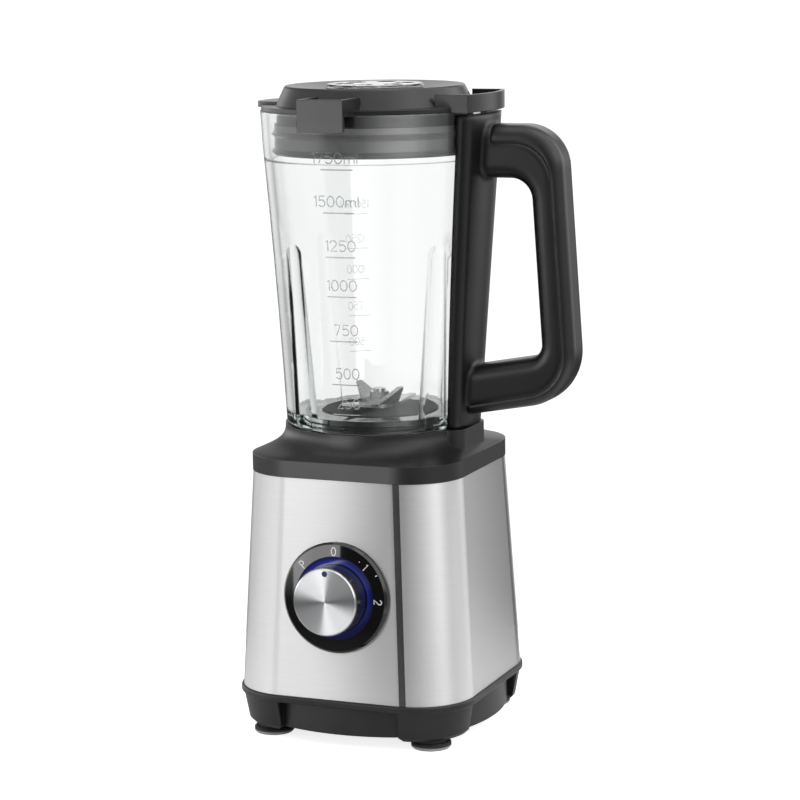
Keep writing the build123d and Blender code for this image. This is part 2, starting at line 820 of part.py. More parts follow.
def make_cooling_fan():
    """Moulded radial fan on the lower end of the motor's shaft."""
    fan = ring(fan_hub_radius, shaft_radius, fan_bottom, fan_top)
    fan += ring(fan_radius, shaft_radius, fan_top - fan_plate, fan_top)
    length = fan_radius - fan_hub_radius + past
    tall = fan_height - fan_plate / 2
    blade = Pos(fan_hub_radius - past, 0, fan_bottom) * Box(
        length, fan_blade_thickness, tall, align=(Align.MIN, Align.CENTER, Align.MIN))
    return fan + [Rot(0, 0, 360 / fan_blades * i) * blade for i in range(fan_blades)]


def clutch_jaws(bottom):
    """Ring of upright clutch teeth."""
    spread = math.radians(jaw_angle / 2)
    reach = 2 * coupler_radius
    wedge = make_face(Polyline((0, 0), (reach * math.cos(spread), -reach * math.sin(spread)),
                               (reach * math.cos(spread), reach * math.sin(spread)), close=True))
    tooth = wedge & (Circle(coupler_radius) - Circle(jaw_inner))
    upright = slab(tooth, bottom, bottom + jaw_height)
    return [Rot(0, 0, 360 / jaw_count * i) * upright for i in range(jaw_count)]


def make_drive_coupler():
    """Lower half of the clutch, on the motor's shaft in the deck's pocket."""
    coupler = ring(coupler_radius, shaft_radius, drive_disc_bottom, jaw_bottom)
    return coupler + clutch_jaws(jaw_bottom)


def make_driven_coupler():
    """Upper half of the clutch, under the jar, half a tooth round from the lower half."""
    coupler = ring(coupler_radius, shaft_radius, jaw_top + free_gap, jaw_top + free_gap + coupler_disc)
    teeth = [Pos(0, 0, free_gap) * Rot(0, 0, 180 / jaw_count) * tooth for tooth in clutch_jaws(jaw_bottom)]
    return coupler + teeth


def make_shaft_seal():
    """Seal round the motor's shaft in the floor of the pocket."""
    bottom = pocket_floor - pocket_floor_thickness
    return ring(seal_radius, shaft_radius + running_gap, bottom, pocket_floor)


def make_interlock_switch():
    """Small switch under the deck, below the plunger."""
    body = Box(microswitch_length, microswitch_width, microswitch_height,
               align=(Align.MAX, Align.CENTER, Align.MAX))
    return Pos(plunger_x + 2 * plunger_radius, 0, deck_ceiling) * body


def make_interlock_plunger():
    """Pin through the deck's pad that the handle's foot holds down."""
    bottom = deck_ceiling + plunger_travel + free_gap
    return post(plunger_radius, bottom, jar_bottom, plunger_x)


def jar_block():
    """The jar's outside as one solid, with a rounded bottom edge and no flutes."""
    edge = jar_bottom_edge
    lift = edge * (1 - math.sqrt(0.5))
    low = jar_radius_bottom
    edge_end = (low, jar_bottom + edge)
    middle_z = jar_bottom + jar_shoulder_height / 2
    middle = (jar_radius(middle_z), middle_z)
    shoulder = (jar_radius_shoulder, jar_bottom + jar_shoulder_height)
    rim = (jar_radius_rim, jar_top)
    outline = Polyline(rim, (0, jar_top), (0, jar_bottom), (low - edge, jar_bottom))
    outline += ThreePointArc((low - edge, jar_bottom), (low - lift, jar_bottom + lift), edge_end)
    outline += ThreePointArc(edge_end, middle, shoulder)
    outline += Line(shoulder, rim)
    return turned(outline)


def jar_cavity():
    """The jar's inside without flutes: floor, bellied wall, ledge and rim."""
    ledge_z = jar_bottom + jar_ledge_height
    ledge = (jar_radius(ledge_z) - jar_wall, ledge_z)
    ledge_out = (jar_radius(ledge_z) - jar_rim_wall, ledge_z)
    shoulder = (jar_radius_shoulder - jar_rim_wall, jar_bottom + jar_shoulder_height)
    rim = (jar_radius_rim - jar_rim_wall, jar_top)
    floor_edge = (jar_radius(jar_floor_level) - jar_wall, jar_floor_level)
    middle_z = (jar_floor_level + ledge_z) / 2
    outline = Polyline(ledge, ledge_out, shoulder, rim, (0, jar_top), (0, jar_floor_level), floor_edge)
    outline += ThreePointArc(floor_edge, (jar_radius(middle_z) - jar_wall, middle_z), ledge)
    return turned(outline)


def flute_cutters(extra):
    """Round-nosed bars laid along the wall, deepest at the foot and swollen by an extra radius."""
    radius = flute_radius + extra
    low_x = jar_radius(jar_bottom) + flute_radius - flute_depth
    high_x = jar_radius(jar_bottom + flute_top) + flute_radius - flute_depth_top
    lean = math.degrees(math.atan2(high_x - low_x, flute_top))
    length = math.hypot(high_x - low_x, flute_top)
    bar = post(radius, -flute_start, length) + Pos(0, 0, length) * Sphere(radius)
    placed = Pos(low_x, 0, jar_bottom) * Rot(0, lean, 0) * bar
    return [Rot(0, 0, flute_angle + 360 / flute_count * i) * placed for i in range(flute_count)]


def spout_body(inset):
    """Tapered bulge of the rim at -X for pouring."""
    top_radius = spout_radius - inset
    centre = jar_radius_rim + spout_reach - spout_radius
    bulge = turned_points((0, jar_top - spout_depth), (spout_root_radius, jar_top - spout_depth),
                          (top_radius, jar_top), (0, jar_top))
    return Pos(-centre, 0, 0) * bulge


def make_glass_jar():
    """Pressed glass jar: fluted wall, ledge for the lid's seal, spout, thick floor and a neck below."""
    jar = jar_block() + spout_body(0)
    jar += post(neck_radius, neck_bottom, jar_bottom + past)
    jar -= flute_cutters(0)
    jar -= jar_cavity() - flute_cutters(jar_wall)
    jar -= spout_body(jar_rim_wall)
    return jar - post(neck_bore, neck_bottom - past, jar_floor_level + past)


def make_jar_collar():
    """Ring nut on the jar's neck that holds the blade unit and stands in the deck's well."""
    collar = ring(collar_radius, neck_bore, seat_level, holder_bottom)
    return collar + ring(collar_radius, neck_radius + slip_gap, holder_bottom, jar_bottom - 2 * free_gap)


def make_jar_gasket():
    """Flat gasket between the jar's neck and the blade unit."""
    return ring(neck_radius, neck_bore, gasket_bottom, neck_bottom)


def make_blade_holder():
    """Turned holder that closes the jar's neck, hollow below and bored for the bushes."""
    plug = neck_bore - slip_gap
    roof = holder_top - holder_roof
    edge = 2 * holder_rise
    bore = shaft_radius + running_gap + bush_wall
    return turned_points(
        (holder_recess_radius, holder_bottom), (neck_radius, holder_bottom), (neck_radius, gasket_bottom),
        (plug, gasket_bottom), (plug, holder_top - holder_rise), (plug - edge, holder_top),
        (bore, holder_top), (bore, roof), (holder_recess_radius, roof))


def make_bush(bottom):
    """Bronze bush in the blade holder."""
    bore = shaft_radius + running_gap
    return ring(bore + bush_wall, bore, bottom, bottom + bush_length)


def make_blade_shaft():
    """Shaft of the blades, from the clutch up to its nut."""
    return post(shaft_radius, jaw_top + free_gap, blade_shaft_top)


def make_blade(level, reach, tilt, turn):
    """Two-winged blade: a flat hub with both wings bent up from it and cut to points."""
    rise = math.radians(tilt)
    tip_x = blade_root + reach * math.cos(rise)
    tip_z = reach * math.sin(rise)
    over_tip = (tip_x - blade_thickness * math.sin(rise), tip_z + blade_thickness * math.cos(rise))
    over_root = (blade_root - blade_thickness * math.tan(rise / 2), blade_thickness)
    side = Plane.XZ * make_face(Polyline(
        (0, 0), (blade_root, 0), (tip_x, tip_z), over_tip, over_root, (0, blade_thickness), close=True))
    strip = extrude(side, blade_width / 2, both=True)
    outline = make_face(Polyline(
        (0, -blade_width / 2), (blade_root, -blade_width / 2),
        (tip_x, blade_tip_shift - blade_tip_width / 2), (tip_x, blade_tip_shift + blade_tip_width / 2),
        (blade_root, blade_width / 2), (0, blade_width / 2), close=True))
    shaped = strip & slab(outline, -blade_width, tip_z + blade_width)
    hub = post(blade_hub_radius, 0, blade_thickness)
    blade = hub + [shaped, Rot(0, 0, 180) * shaped]
    blade -= post(shaft_radius, -past, blade_thickness + past)
    return Pos(0, 0, level) * Rot(0, 0, turn) * blade


def make_blade_washer():
    """Spacer between the blade holder and the blades."""
    return ring(blade_hub_radius, shaft_radius, holder_top + free_gap, blade_level)


def make_blade_nut():
    """Hexagon nut on top of the blades."""
    bottom = blade_level + 2 * blade_thickness
    return slab(RegularPolygon(nut_radius, 6) - Circle(shaft_radius), bottom, bottom + nut_height)


def column_section(half, outside, z):
    """Plan of the column: a slice of a disc with rounded outer corners."""
    slice_plan = Circle(outside) & Pos(outside, 0) * Rectangle(outside, 2 * half)
    outer_corners = slice_plan.vertices().sort_by(Axis.X)[-2:]
    return Pos(0, 0, z) * fillet(outer_corners, column_edge_radius)


def column_block():
    """The column before the glass is taken out of it."""
    top = jar_top - column_top_gap
    foot_outside = jar_radius(jar_bottom) + column_cover - column_foot_inset
    lower = column_section(column_half_bottom, foot_outside, jar_bottom)
    upper = column_section(column_half_top, jar_radius(top) + column_cover, top)
    return loft([lower, upper], ruled=True)


def handle_lines():
    """Straight edges of the handle seen from the front, before the bends are rounded."""
    top = jar_top - handle_top_drop
    bottom_start = jar_bottom + handle_bottom_rise
    root = jar_radius_bottom
    lean = grip_lean / (top - bottom_start)
    corner_x = grip_reach_top + grip_lean
    bottom_end = bottom_start + arm_rise * (corner_x - jar_radius_rim)
    return top, bottom_start, bottom_end, root, corner_x, lean


def rounded_loop(points, radii):
    """Closed outline with its corners rounded where a radius is given."""
    face = make_face(Polyline(*points, close=True))
    for point, radius in zip(points, radii):
        if radius:
            corner = face.vertices().sort_by_distance((point[0], point[1], 0))[0]
            face = fillet(corner, radius)
    return face


def handle_faces():
    """Side outlines: the whole handle, its finger opening and the part inside the cover's seam."""
    top, bottom_start, bottom_end, root, corner_x, lean = handle_lines()
    rise = arm_rise * (jar_radius_rim - root)
    outside = rounded_loop(
        [(root, top), (grip_reach_top, top), (corner_x, bottom_end), (root, bottom_start - rise)],
        [0, outer_bend_top, outer_bend_bottom, 0])
    under = top - upper_arm
    over = bottom_end + lower_arm - arm_rise * grip_thickness
    inner_top_x = grip_reach_top - grip_thickness + lean * upper_arm
    inner_bottom_x = corner_x - grip_thickness - lean * lower_arm
    over_root = over - arm_rise * (inner_bottom_x - root)
    opening = rounded_loop(
        [(root, under), (inner_top_x, under), (inner_bottom_x, over), (root, over_root)],
        [0, inner_bend_top, inner_bend_bottom, 0])
    seam = rounded_loop(
        [(root - past, top + past), (cover_start, top + past), (cover_start, top - cover_top),
         (grip_reach_top - cover_grip + lean * cover_top, top - cover_top),
         (corner_x - cover_grip, bottom_end + cover_bottom),
         (root - past, bottom_start - rise + cover_bottom)],
        [0, 0, 0, cover_bend_top, cover_bend_bottom, 0])
    return outside, opening, seam


def upright_slab(face, width):
    """A front-view outline made solid, centred on the handle's middle plane."""
    return extrude(Plane.XZ * face, width / 2, both=True)


def handle_ring():
    """The whole handle, rounded, before it is split along its seam."""
    outside, opening, _ = handle_faces()
    body = upright_slab(outside - opening, handle_width)
    side_edges = body.edges().filter_by(lambda edge: abs(abs(edge.center().Y) - handle_width / 2) < 0.01)
    reach = side_edges.filter_by(lambda edge: edge.center().X > jar_radius_bottom + past)
    return fillet(reach, handle_round)


def handle_screw_places():
    """Heights of the cover's screws on the grip, with the grip's inner face there."""
    top, bottom_start, _, _, corner_x, lean = handle_lines()
    middle = (top + bottom_start) / 2
    heights = (middle - handle_screw_spacing / 2, middle + handle_screw_spacing / 2)
    return [(grip_reach_top - grip_thickness + lean * (top - z), z) for z in heights]


def handle_screws():
    """Two screws from the grip's inner face out into the cover."""
    head = extrude(Circle(2 * handle_screw_radius), 2 * handle_screw_radius)
    shank = extrude(Circle(handle_screw_radius), grip_thickness - 0.4 * cover_grip)
    screw = Rot(0, 90, 0) * (head + shank)
    return Part() + [Pos(x, 0, z) * screw for x, z in handle_screw_places()]


def make_handle_column():
    """Column and inner half of the handle in one moulding."""
    _, _, seam = handle_faces()
    inner = handle_ring() & upright_slab(seam, 2 * handle_width)
    moulding = column_block() + inner - jar_block()
    return moulding - handle_screws()


def make_handle_cover():
    """Outer half of the handle, from the seam outwards."""
    _, _, seam = handle_faces()
    cover = handle_ring() - upright_slab(seam, 2 * handle_width) - column_block()
    return cover - handle_screws()


def make_lid():
    """Moulded lid: plug, flange, dished dome, spout flap, two lifting tabs and a tray over the handle."""
    plug_bottom = lid_seat - plug_depth
    well_outer = cap_radius + cap_clearance
    tube = cap_skirt_radius + cap_clearance
    dish = dome_top - dish_drop
    under = dome_base_radius - lid_wall
    lid = turned_points(
        (plug_radius, plug_bottom), (plug_radius, lid_seat), (flange_radius, lid_seat),
        (flange_radius, flange_top), (dome_base_radius, flange_top),
        (dome_top_radius + dome_edge, dome_top - dome_edge), (dome_top_radius, dome_top),
        (dome_top_radius - 2 * dome_edge, dome_top), (well_outer, dish), (well_outer, cap_seat),
        (tube, cap_seat), (tube, cap_seat - cap_skirt), (tube + lid_wall, cap_seat - cap_skirt),
        (tube + lid_wall, cap_seat - lid_wall), (well_outer + lid_wall, cap_seat - lid_wall),
        (well_outer + lid_wall, dish - lid_wall), (dome_top_radius - lid_wall, dome_top - 1.6 * lid_wall),
        (under, flange_top), (plug_radius - lid_wall, lid_seat), (plug_radius - lid_wall, plug_bottom))
    keep_out = post(0.5 * (dome_base_radius + plug_radius), plug_bottom, dome_top)
    flap_plan = Pos(-flap_reach / 2, 0) * RectangleRounded(flap_reach, 2 * flap_half, flap_corner)
    flap_bottom = lid_seat + flap_lift
    flap = slab(flap_plan, flap_bottom, flap_bottom + flap_thickness) - keep_out
    tray_plan = Circle(tray_reach) & Pos(tray_reach / 2, 0) * Rectangle(tray_reach, 2 * tray_half)
    inner_plan = Circle(tray_reach - lid_wall) & Pos(tray_reach / 2, 0) * Rectangle(
        tray_reach + past, 2 * (tray_half - lid_wall))
    rear_tray = slab(tray_plan, lid_seat, flange_top)
    rear_tray += slab(tray_plan - inner_plan, flange_top, flange_top + tray_rise)
    rear_tray -= keep_out
    plate = Pos(0, -tab_reach + tab_wall / 2) * Rectangle(tab_width, tab_wall)
    wall_length = tab_reach - dome_base_radius + lid_wall
    wall_x = (tab_width - tab_wall) / 2
    wall_y = wall_length / 2 - tab_reach
    walls = [Pos(side * wall_x, wall_y) * Rectangle(tab_wall, wall_length) for side in (-1, 1)]
    tab = slab(plate, lid_seat - tab_drop, lid_seat + tab_top)
    tab += [slab(wall, lid_seat, lid_seat + tab_top) for wall in walls]
    dome_inside = turned_points(
        (0, lid_seat), (under, lid_seat), (under, flange_top),
        (dome_top_radius - lid_wall, dome_top), (0, dome_top))
    tabs = (Part() + [tab, Rot(0, 0, 180) * tab]) - dome_inside
    return lid + flap + (rear_tray - dome_inside) + tabs


def make_lid_seal():
    """Rubber sleeve on the lid's plug with two lips against the glass."""
    plug_bottom = lid_seat - plug_depth
    body = plug_radius + seal_thickness
    ledge_bore = jar_radius(jar_bottom + jar_ledge_height) - jar_rim_wall
    lip = ledge_bore - seal_gap
    second = plug_bottom + seal_spacing
    return turned_points(
        (plug_radius, plug_bottom), (body, plug_bottom), (lip, plug_bottom + seal_band / 2),
        (body, plug_bottom + seal_band), (body, second), (lip, second + seal_band / 2),
        (body, second + seal_band), (body, second + 2 * seal_band), (plug_radius, second + 2 * seal_band))


def make_filler_cap():
    """Clear measuring cap: a dimpled top on a cup that hangs in the lid's tube."""
    skirt_bottom = cap_seat - cap_skirt + 2 * cap_clearance
    inside = cap_skirt_radius - cap_wall
    cap = turned_points(
        (0, cap_top), (cap_radius - cap_edge, cap_top), (cap_radius, cap_top - cap_edge),
        (cap_radius, cap_seat), (cap_skirt_radius, cap_seat), (cap_skirt_radius, skirt_bottom),
        (inside, skirt_bottom), (inside, cap_seat), (0, cap_seat))
    ball = (dimple_radius ** 2 + dimple_depth ** 2) / (2 * dimple_depth)
    dimple = Pos(0, 0, cap_top + ball - dimple_depth) * Sphere(ball)
    return cap - [place * dimple for place in PolarLocations(dimple_circle, dimple_count, 30)]


feet = {
    "foot_front_left": (-1, -1),
    "foot_front_right": (1, -1),
    "foot_rear_left": (-1, 1),
    "foot_rear_right": (1, 1),
}
pieces = {
    "bottom_tray": make_bottom_tray(),
    "cord_gland": make_cord_gland(),
    "steel_shell": make_steel_shell(),
    "seam_strip": make_seam_strip(),
    "top_deck": make_top_deck(),
    "tray_screws": make_tray_screws(),
    "dial_plate": make_dial_plate(),
    "light_ring": make_light_ring(),
    "control_board": make_control_board(),
    "ring_leds": make_ring_leds(),
    "board_screws": make_board_screws(),
    "rotary_switch": make_rotary_switch(),
    "switch_shaft": make_switch_shaft(),
    "knob_body": make_knob_body(),
    "knob_cap": make_knob_cap(),
    "knob_pointer": make_knob_pointer(),
    "motor_stator": make_motor_stator(),
    "field_coils": make_field_coils(),
    "motor_upper_bracket": make_motor_upper_bracket(),
    "motor_lower_bracket": make_motor_lower_bracket(),
    "upper_bearing": make_bearing(upper_bracket_bottom),
    "lower_bearing": make_bearing(lower_bracket_bottom - bearing_length),
    "stator_bolts": make_stator_bolts(),
    "motor_mounts": make_motor_mounts(),
    "motor_screws": make_motor_screws(),
    "brush_holders": make_brush_holders(),
    "carbon_brushes": make_carbon_brushes(),
    "rotor_shaft": make_rotor_shaft(),
    "rotor_core": make_rotor_core(),
    "rotor_windings": make_rotor_windings(),
    "commutator": make_commutator(),
    "cooling_fan": make_cooling_fan(),
    "drive_coupler": make_drive_coupler(),
    "shaft_seal": make_shaft_seal(),
    "interlock_switch": make_interlock_switch(),
    "interlock_plunger": make_interlock_plunger(),
    "glass_jar": make_glass_jar(),
    "jar_collar": make_jar_collar(),
    "jar_gasket": make_jar_gasket(),
    "blade_holder": make_blade_holder(),
    "lower_bush": make_bush(holder_top - holder_roof),
    "upper_bush": make_bush(holder_top - bush_length),
    "blade_shaft": make_blade_shaft(),
    "driven_coupler": make_driven_coupler(),
    "blade_washer": make_blade_washer(),
    "lower_blade": make_blade(blade_level, lower_blade_reach, lower_blade_tilt, lower_blade_turn),
    "upper_blade": make_blade(blade_level + blade_thickness, upper_blade_reach, upper_blade_tilt,
                              upper_blade_turn),
    "blade_nut": make_blade_nut(),
    "handle_column": make_handle_column(),
    "handle_cover": make_handle_cover(),
    "handle_screws": handle_screws(),
    "lid": make_lid(),
    "lid_seal": make_lid_seal(),
    "filler_cap": make_filler_cap(),
}
for name, (side_x, side_y) in feet.items():
    pieces[name] = make_foot(side_x * foot_offset, side_y * foot_offset)

os.makedirs("parts", exist_ok=True)
for name, piece in pieces.items():
    export_step(Pos(axis_x, axis_y, 0) * piece, f"parts/{name}.step")
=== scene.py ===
import json
import math
import bmesh
import bpy
from mathutils import Matrix, Quaternion, Vector
from mathutils.bvhtree import BVHTree


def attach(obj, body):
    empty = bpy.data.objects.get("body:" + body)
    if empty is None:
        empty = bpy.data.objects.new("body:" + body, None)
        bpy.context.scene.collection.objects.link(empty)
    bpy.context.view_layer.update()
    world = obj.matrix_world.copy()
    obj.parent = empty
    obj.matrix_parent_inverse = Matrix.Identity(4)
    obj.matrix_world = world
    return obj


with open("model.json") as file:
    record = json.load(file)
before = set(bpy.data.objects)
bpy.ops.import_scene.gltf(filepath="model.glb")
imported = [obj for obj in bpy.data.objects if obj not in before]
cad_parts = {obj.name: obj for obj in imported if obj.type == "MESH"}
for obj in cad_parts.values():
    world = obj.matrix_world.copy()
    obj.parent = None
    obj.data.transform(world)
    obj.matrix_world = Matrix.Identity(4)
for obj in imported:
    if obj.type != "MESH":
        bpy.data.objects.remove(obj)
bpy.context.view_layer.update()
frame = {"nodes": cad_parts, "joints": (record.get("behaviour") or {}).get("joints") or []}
nodes = frame["nodes"]
joints = {joint["name"]: joint for joint in frame["joints"]}
mm = 0.001
jarAxis = Vector((*joints["rotor_spin"]["pos_m"][:2], 0))  # the picture is measured from the jar's axis
print("frame loaded:", len(nodes), "nodes")


def hexColour(text):  # sRGB hex to the linear colour the shader wants
    parts = [int(text[i:i + 2], 16) / 255 for i in (1, 3, 5)]
    return [p / 12.92 if p <= 0.04045 else ((p + 0.055) / 1.055) ** 2.4 for p in parts] + [1.0]


def addNode(tree, kind, settings=None, links=None):  # one node with its settings and its incoming links
    node = tree.nodes.new(kind)
    for name, value in (settings or {}).items():
        if isinstance(name, int) or name in node.inputs:
            node.inputs[name].default_value = value
        else:
            setattr(node, name, value)
    for name, source in (links or {}).items():
        tree.links.new(source, node.inputs[name])
    return node


def startMaterial(name, shader):  # a material with the values that hold all over its surface
    material = bpy.data.materials.new(name)
    material.use_nodes = True
    tree = material.node_tree
    surface = tree.nodes["Principled BSDF"]
    for socket, value in shader.items():
        surface.inputs[socket].default_value = hexColour(value) if isinstance(value, str) else value
    return material, tree, surface


def setRamp(ramp, stops):  # colour stops of a ramp, hex or grey level
    elements = ramp.color_ramp.elements
    while len(elements) < len(stops):
        elements.new(0.5)
    for element, (place, colour) in zip(elements, stops):
        element.position = place
        element.color = hexColour(colour) if isinstance(colour, str) else (colour, colour, colour, 1)


def dress(material, *names):  # CAD nodes that show this material
    for name in names:
        nodes[name].data.materials.clear()
        nodes[name].data.materials.append(material)


def perMetre(size):  # texture scale for a pattern of that many millimetres
    return 1000 / size


# camera, read off the photograph: 1.8 m away, a little to the right and above
cameraSpec = {
    "azimuth": 22.24, "elevation": 9.65, "roll": -0.83, "distance": 1.8,
    "aimRight": 0.01335, "aimHeight": 0.2137, "focalPixels": 2745.8, "framePixels": 800, "sensor": 36,
}


def placeCamera(spec):
    azimuth, elevation = math.radians(spec["azimuth"]), math.radians(spec["elevation"])
    right = Vector((math.cos(azimuth), math.sin(azimuth), 0))
    aim = right * spec["aimRight"] + Vector((0, 0, spec["aimHeight"]))
    back = Vector((math.sin(azimuth) * math.cos(elevation), -math.cos(azimuth) * math.cos(elevation),
                   math.sin(elevation)))
    data = bpy.data.cameras.new("photoCamera")
    data.sensor_width = spec["sensor"]
    data.lens = spec["focalPixels"] * spec["sensor"] / spec["framePixels"]
    camera = bpy.data.objects.new("photoCamera", data)
    bpy.context.collection.objects.link(camera)
    camera.location = jarAxis + aim + back * spec["distance"]
    camera.rotation_mode = "QUATERNION"
    level = (-back).to_track_quat("-Z", "Y")
    camera.rotation_quaternion = level @ Quaternion((0, 0, 1), math.radians(spec["roll"]))
    bpy.context.scene.camera = camera


placeCamera(cameraSpec)
print("camera placed")


def grainedPlastic(name, spec):  # grain, mottle and edge in millimetres
    material, tree, surface = startMaterial(name, {"IOR": 1.53, "Specular IOR Level": spec["sheen"]})
    place = addNode(tree, "ShaderNodeTexCoord")
    grain = addNode(tree, "ShaderNodeTexNoise", {"Scale": perMetre(spec["grain"]), "Detail": 2.0},
                    {"Vector": place.outputs["Object"]})
    mottle = addNode(tree, "ShaderNodeTexNoise", {"Scale": perMetre(spec["mottle"]), "Detail": 3.0},
                     {"Vector": place.outputs["Object"]})
    tint = addNode(tree, "ShaderNodeValToRGB", links={"Fac": mottle.outputs["Fac"]})
    setRamp(tint, [(0.3, spec["colour"]), (0.75, spec["light"])])
    low, high = spec["roughness"]
    dull = addNode(tree, "ShaderNodeMapRange", {"To Min": low, "To Max": high},
                   {"Value": grain.outputs["Fac"]})
    relief = addNode(tree, "ShaderNodeBump", {"Strength": spec["relief"], "Distance": 0.05 * mm},
                     {"Height": grain.outputs["Fac"]})
    tree.links.new(tint.outputs["Color"], surface.inputs["Base Color"])
    tree.links.new(dull.outputs["Result"], surface.inputs["Roughness"])
    tree.links.new(relief.outputs["Normal"], surface.inputs["Normal"])
    if "edge" in spec:  # moulded edges are never sharp, they catch a thin line of light
        edge = addNode(tree, "ShaderNodeBevel", {"samples": 8, "Radius": spec["edge"] * mm})
        tree.links.new(edge.outputs["Normal"], relief.inputs["Normal"])
    return material


# moulded ABS, spark-eroded tool: fine even grain, dull black with a soft sheen
absSpec = {"colour": "#0d0d0e", "light": "#151516", "roughness": (0.36, 0.46), "grain": 0.55,
           "mottle": 18, "relief": 0.55, "sheen": 0.33, "edge": 0.5}
dress(grainedPlastic("mouldedAbsBlack", absSpec), "bottom_tray", "top_deck")
# the lid is the same ABS from a smoother tool, so it is a shade glossier
lidSpec = {"colour": "#101011", "light": "#181819", "roughness": (0.26, 0.34), "grain": 0.6,
           "mottle": 18, "relief": 0.3, "sheen": 0.4, "edge": 0.6}
dress(grainedPlastic("mouldedAbsLid", lidSpec), "lid")
# handle polypropylene, same black but smoother to the hand: tighter highlights, on arms that look round
gripSpec = {"colour": "#090909", "light": "#101011", "roughness": (0.3, 0.38), "grain": 0.7,
            "mottle": 25, "relief": 0.3, "sheen": 0.32, "edge": 5.5}
dress(grainedPlastic("satinPolypropyleneBlack", gripSpec), "handle_column")
# the grip's cover comes from its own tool and is a shade lighter
coverSpec = {"colour": "#0e0e0f", "light": "#151516", "roughness": (0.27, 0.34), "grain": 0.7,
             "mottle": 25, "relief": 0.3, "sheen": 0.4, "edge": 4.0}
dress(grainedPlastic("satinPolypropyleneCover", coverSpec), "handle_cover")

# glass-filled nylon for the mouldings inside and under the jar: flat dark grey, slightly fibrous
nylonSpec = {"colour": "#202124", "light": "#2c2d31", "roughness": (0.45, 0.6), "grain": 0.9,
             "mottle": 8, "relief": 0.4, "sheen": 0.4}
dress(grainedPlastic("glassFilledNylon", nylonSpec), "rotary_switch", "interlock_switch",
      "interlock_plunger", "brush_holders", "cooling_fan", "jar_collar", "drive_coupler", "driven_coupler")
# the blade holder is the same nylon dyed black, which takes nearly all its shine
holderSpec = {"colour": "#060606", "light": "#0b0b0b", "roughness": (0.55, 0.65), "grain": 0.9,
              "mottle": 8, "relief": 0.3, "sheen": 0.12}
dress(grainedPlastic("blackNylon", holderSpec), "blade_holder")

# moulded rubber: deep matte black, a little dusty
rubberSpec = {"colour": "#1a1a1a", "light": "#2a2a2a", "roughness": (0.6, 0.8), "grain": 0.8,
              "mottle": 6, "relief": 0.35, "sheen": 0.3}
dress(grainedPlastic("mouldedRubber", rubberSpec), "cord_gland", "motor_mounts", "shaft_seal", "jar_gasket")
# the feet are black rubber with a painted reflection of the white floor: pale grey at their bottom, fading to
# black by the given height
footSpec = {"colour": "#1a1a1a", "paintedReflection": "#8e8e8e", "height": 2.4, "roughness": 0.6, "sheen": 0.3}


def rubberWithPaintedReflection(name, spec):
    material, tree, surface = startMaterial(name, {"Roughness": spec["roughness"],
                                                   "Specular IOR Level": spec["sheen"]})
    place = addNode(tree, "ShaderNodeTexCoord")
    parts = addNode(tree, "ShaderNodeSeparateXYZ", links={0: place.outputs["Object"]})
    rise = addNode(tree, "ShaderNodeMapRange", {"From Max": spec["height"] * mm},
                   {"Value": parts.outputs["Z"]})
    tint = addNode(tree, "ShaderNodeValToRGB", links={"Fac": rise.outputs["Result"]})
    # painted reflection of the floor: pale grey low down, black above
    setRamp(tint, [(0.6, spec["paintedReflection"]), (1.0, spec["colour"])])
    tree.links.new(tint.outputs["Color"], surface.inputs["Base Color"])
    return material


dress(rubberWithPaintedReflection("rubberFeetPaintedReflection", footSpec),
      "foot_front_left", "foot_front_right", "foot_rear_left", "foot_rear_right")
# silicone lid seal: smooth grey, soft highlights through the glass
siliconeSpec = {"colour": "#626262", "light": "#6c6c6c", "roughness": (0.2, 0.26), "grain": 2.0,
                "mottle": 30, "relief": 0.05, "sheen": 0.5}
dress(grainedPlastic("siliconeSeal", siliconeSpec), "lid_seal")
# pressed carbon: grey-black, dusty
carbonSpec = {"colour": "#1b1b1c", "light": "#303032", "roughness": (0.55, 0.7), "grain": 0.4,
              "mottle": 3, "relief": 0.3, "sheen": 0.3}
dress(grainedPlastic("pressedCarbon", carbonSpec), "carbon_brushes")
print("plastics and rubbers done")

acrossBrushing = 0.25  # a quarter turn of the gloss, so that light smears across the brushing


def levelReach(tree, place):  # level way from the jar's axis to the shaded point
    out = addNode(tree, "ShaderNodeVectorMath", {"operation": "SUBTRACT", 1: jarAxis},
                  {0: place.outputs["Object"]})
    level = addNode(tree, "ShaderNodeVectorMath", {"operation": "MULTIPLY", 1: (1, 1, 0)},
                    {0: out.outputs["Vector"]})
    return level.outputs["Vector"]


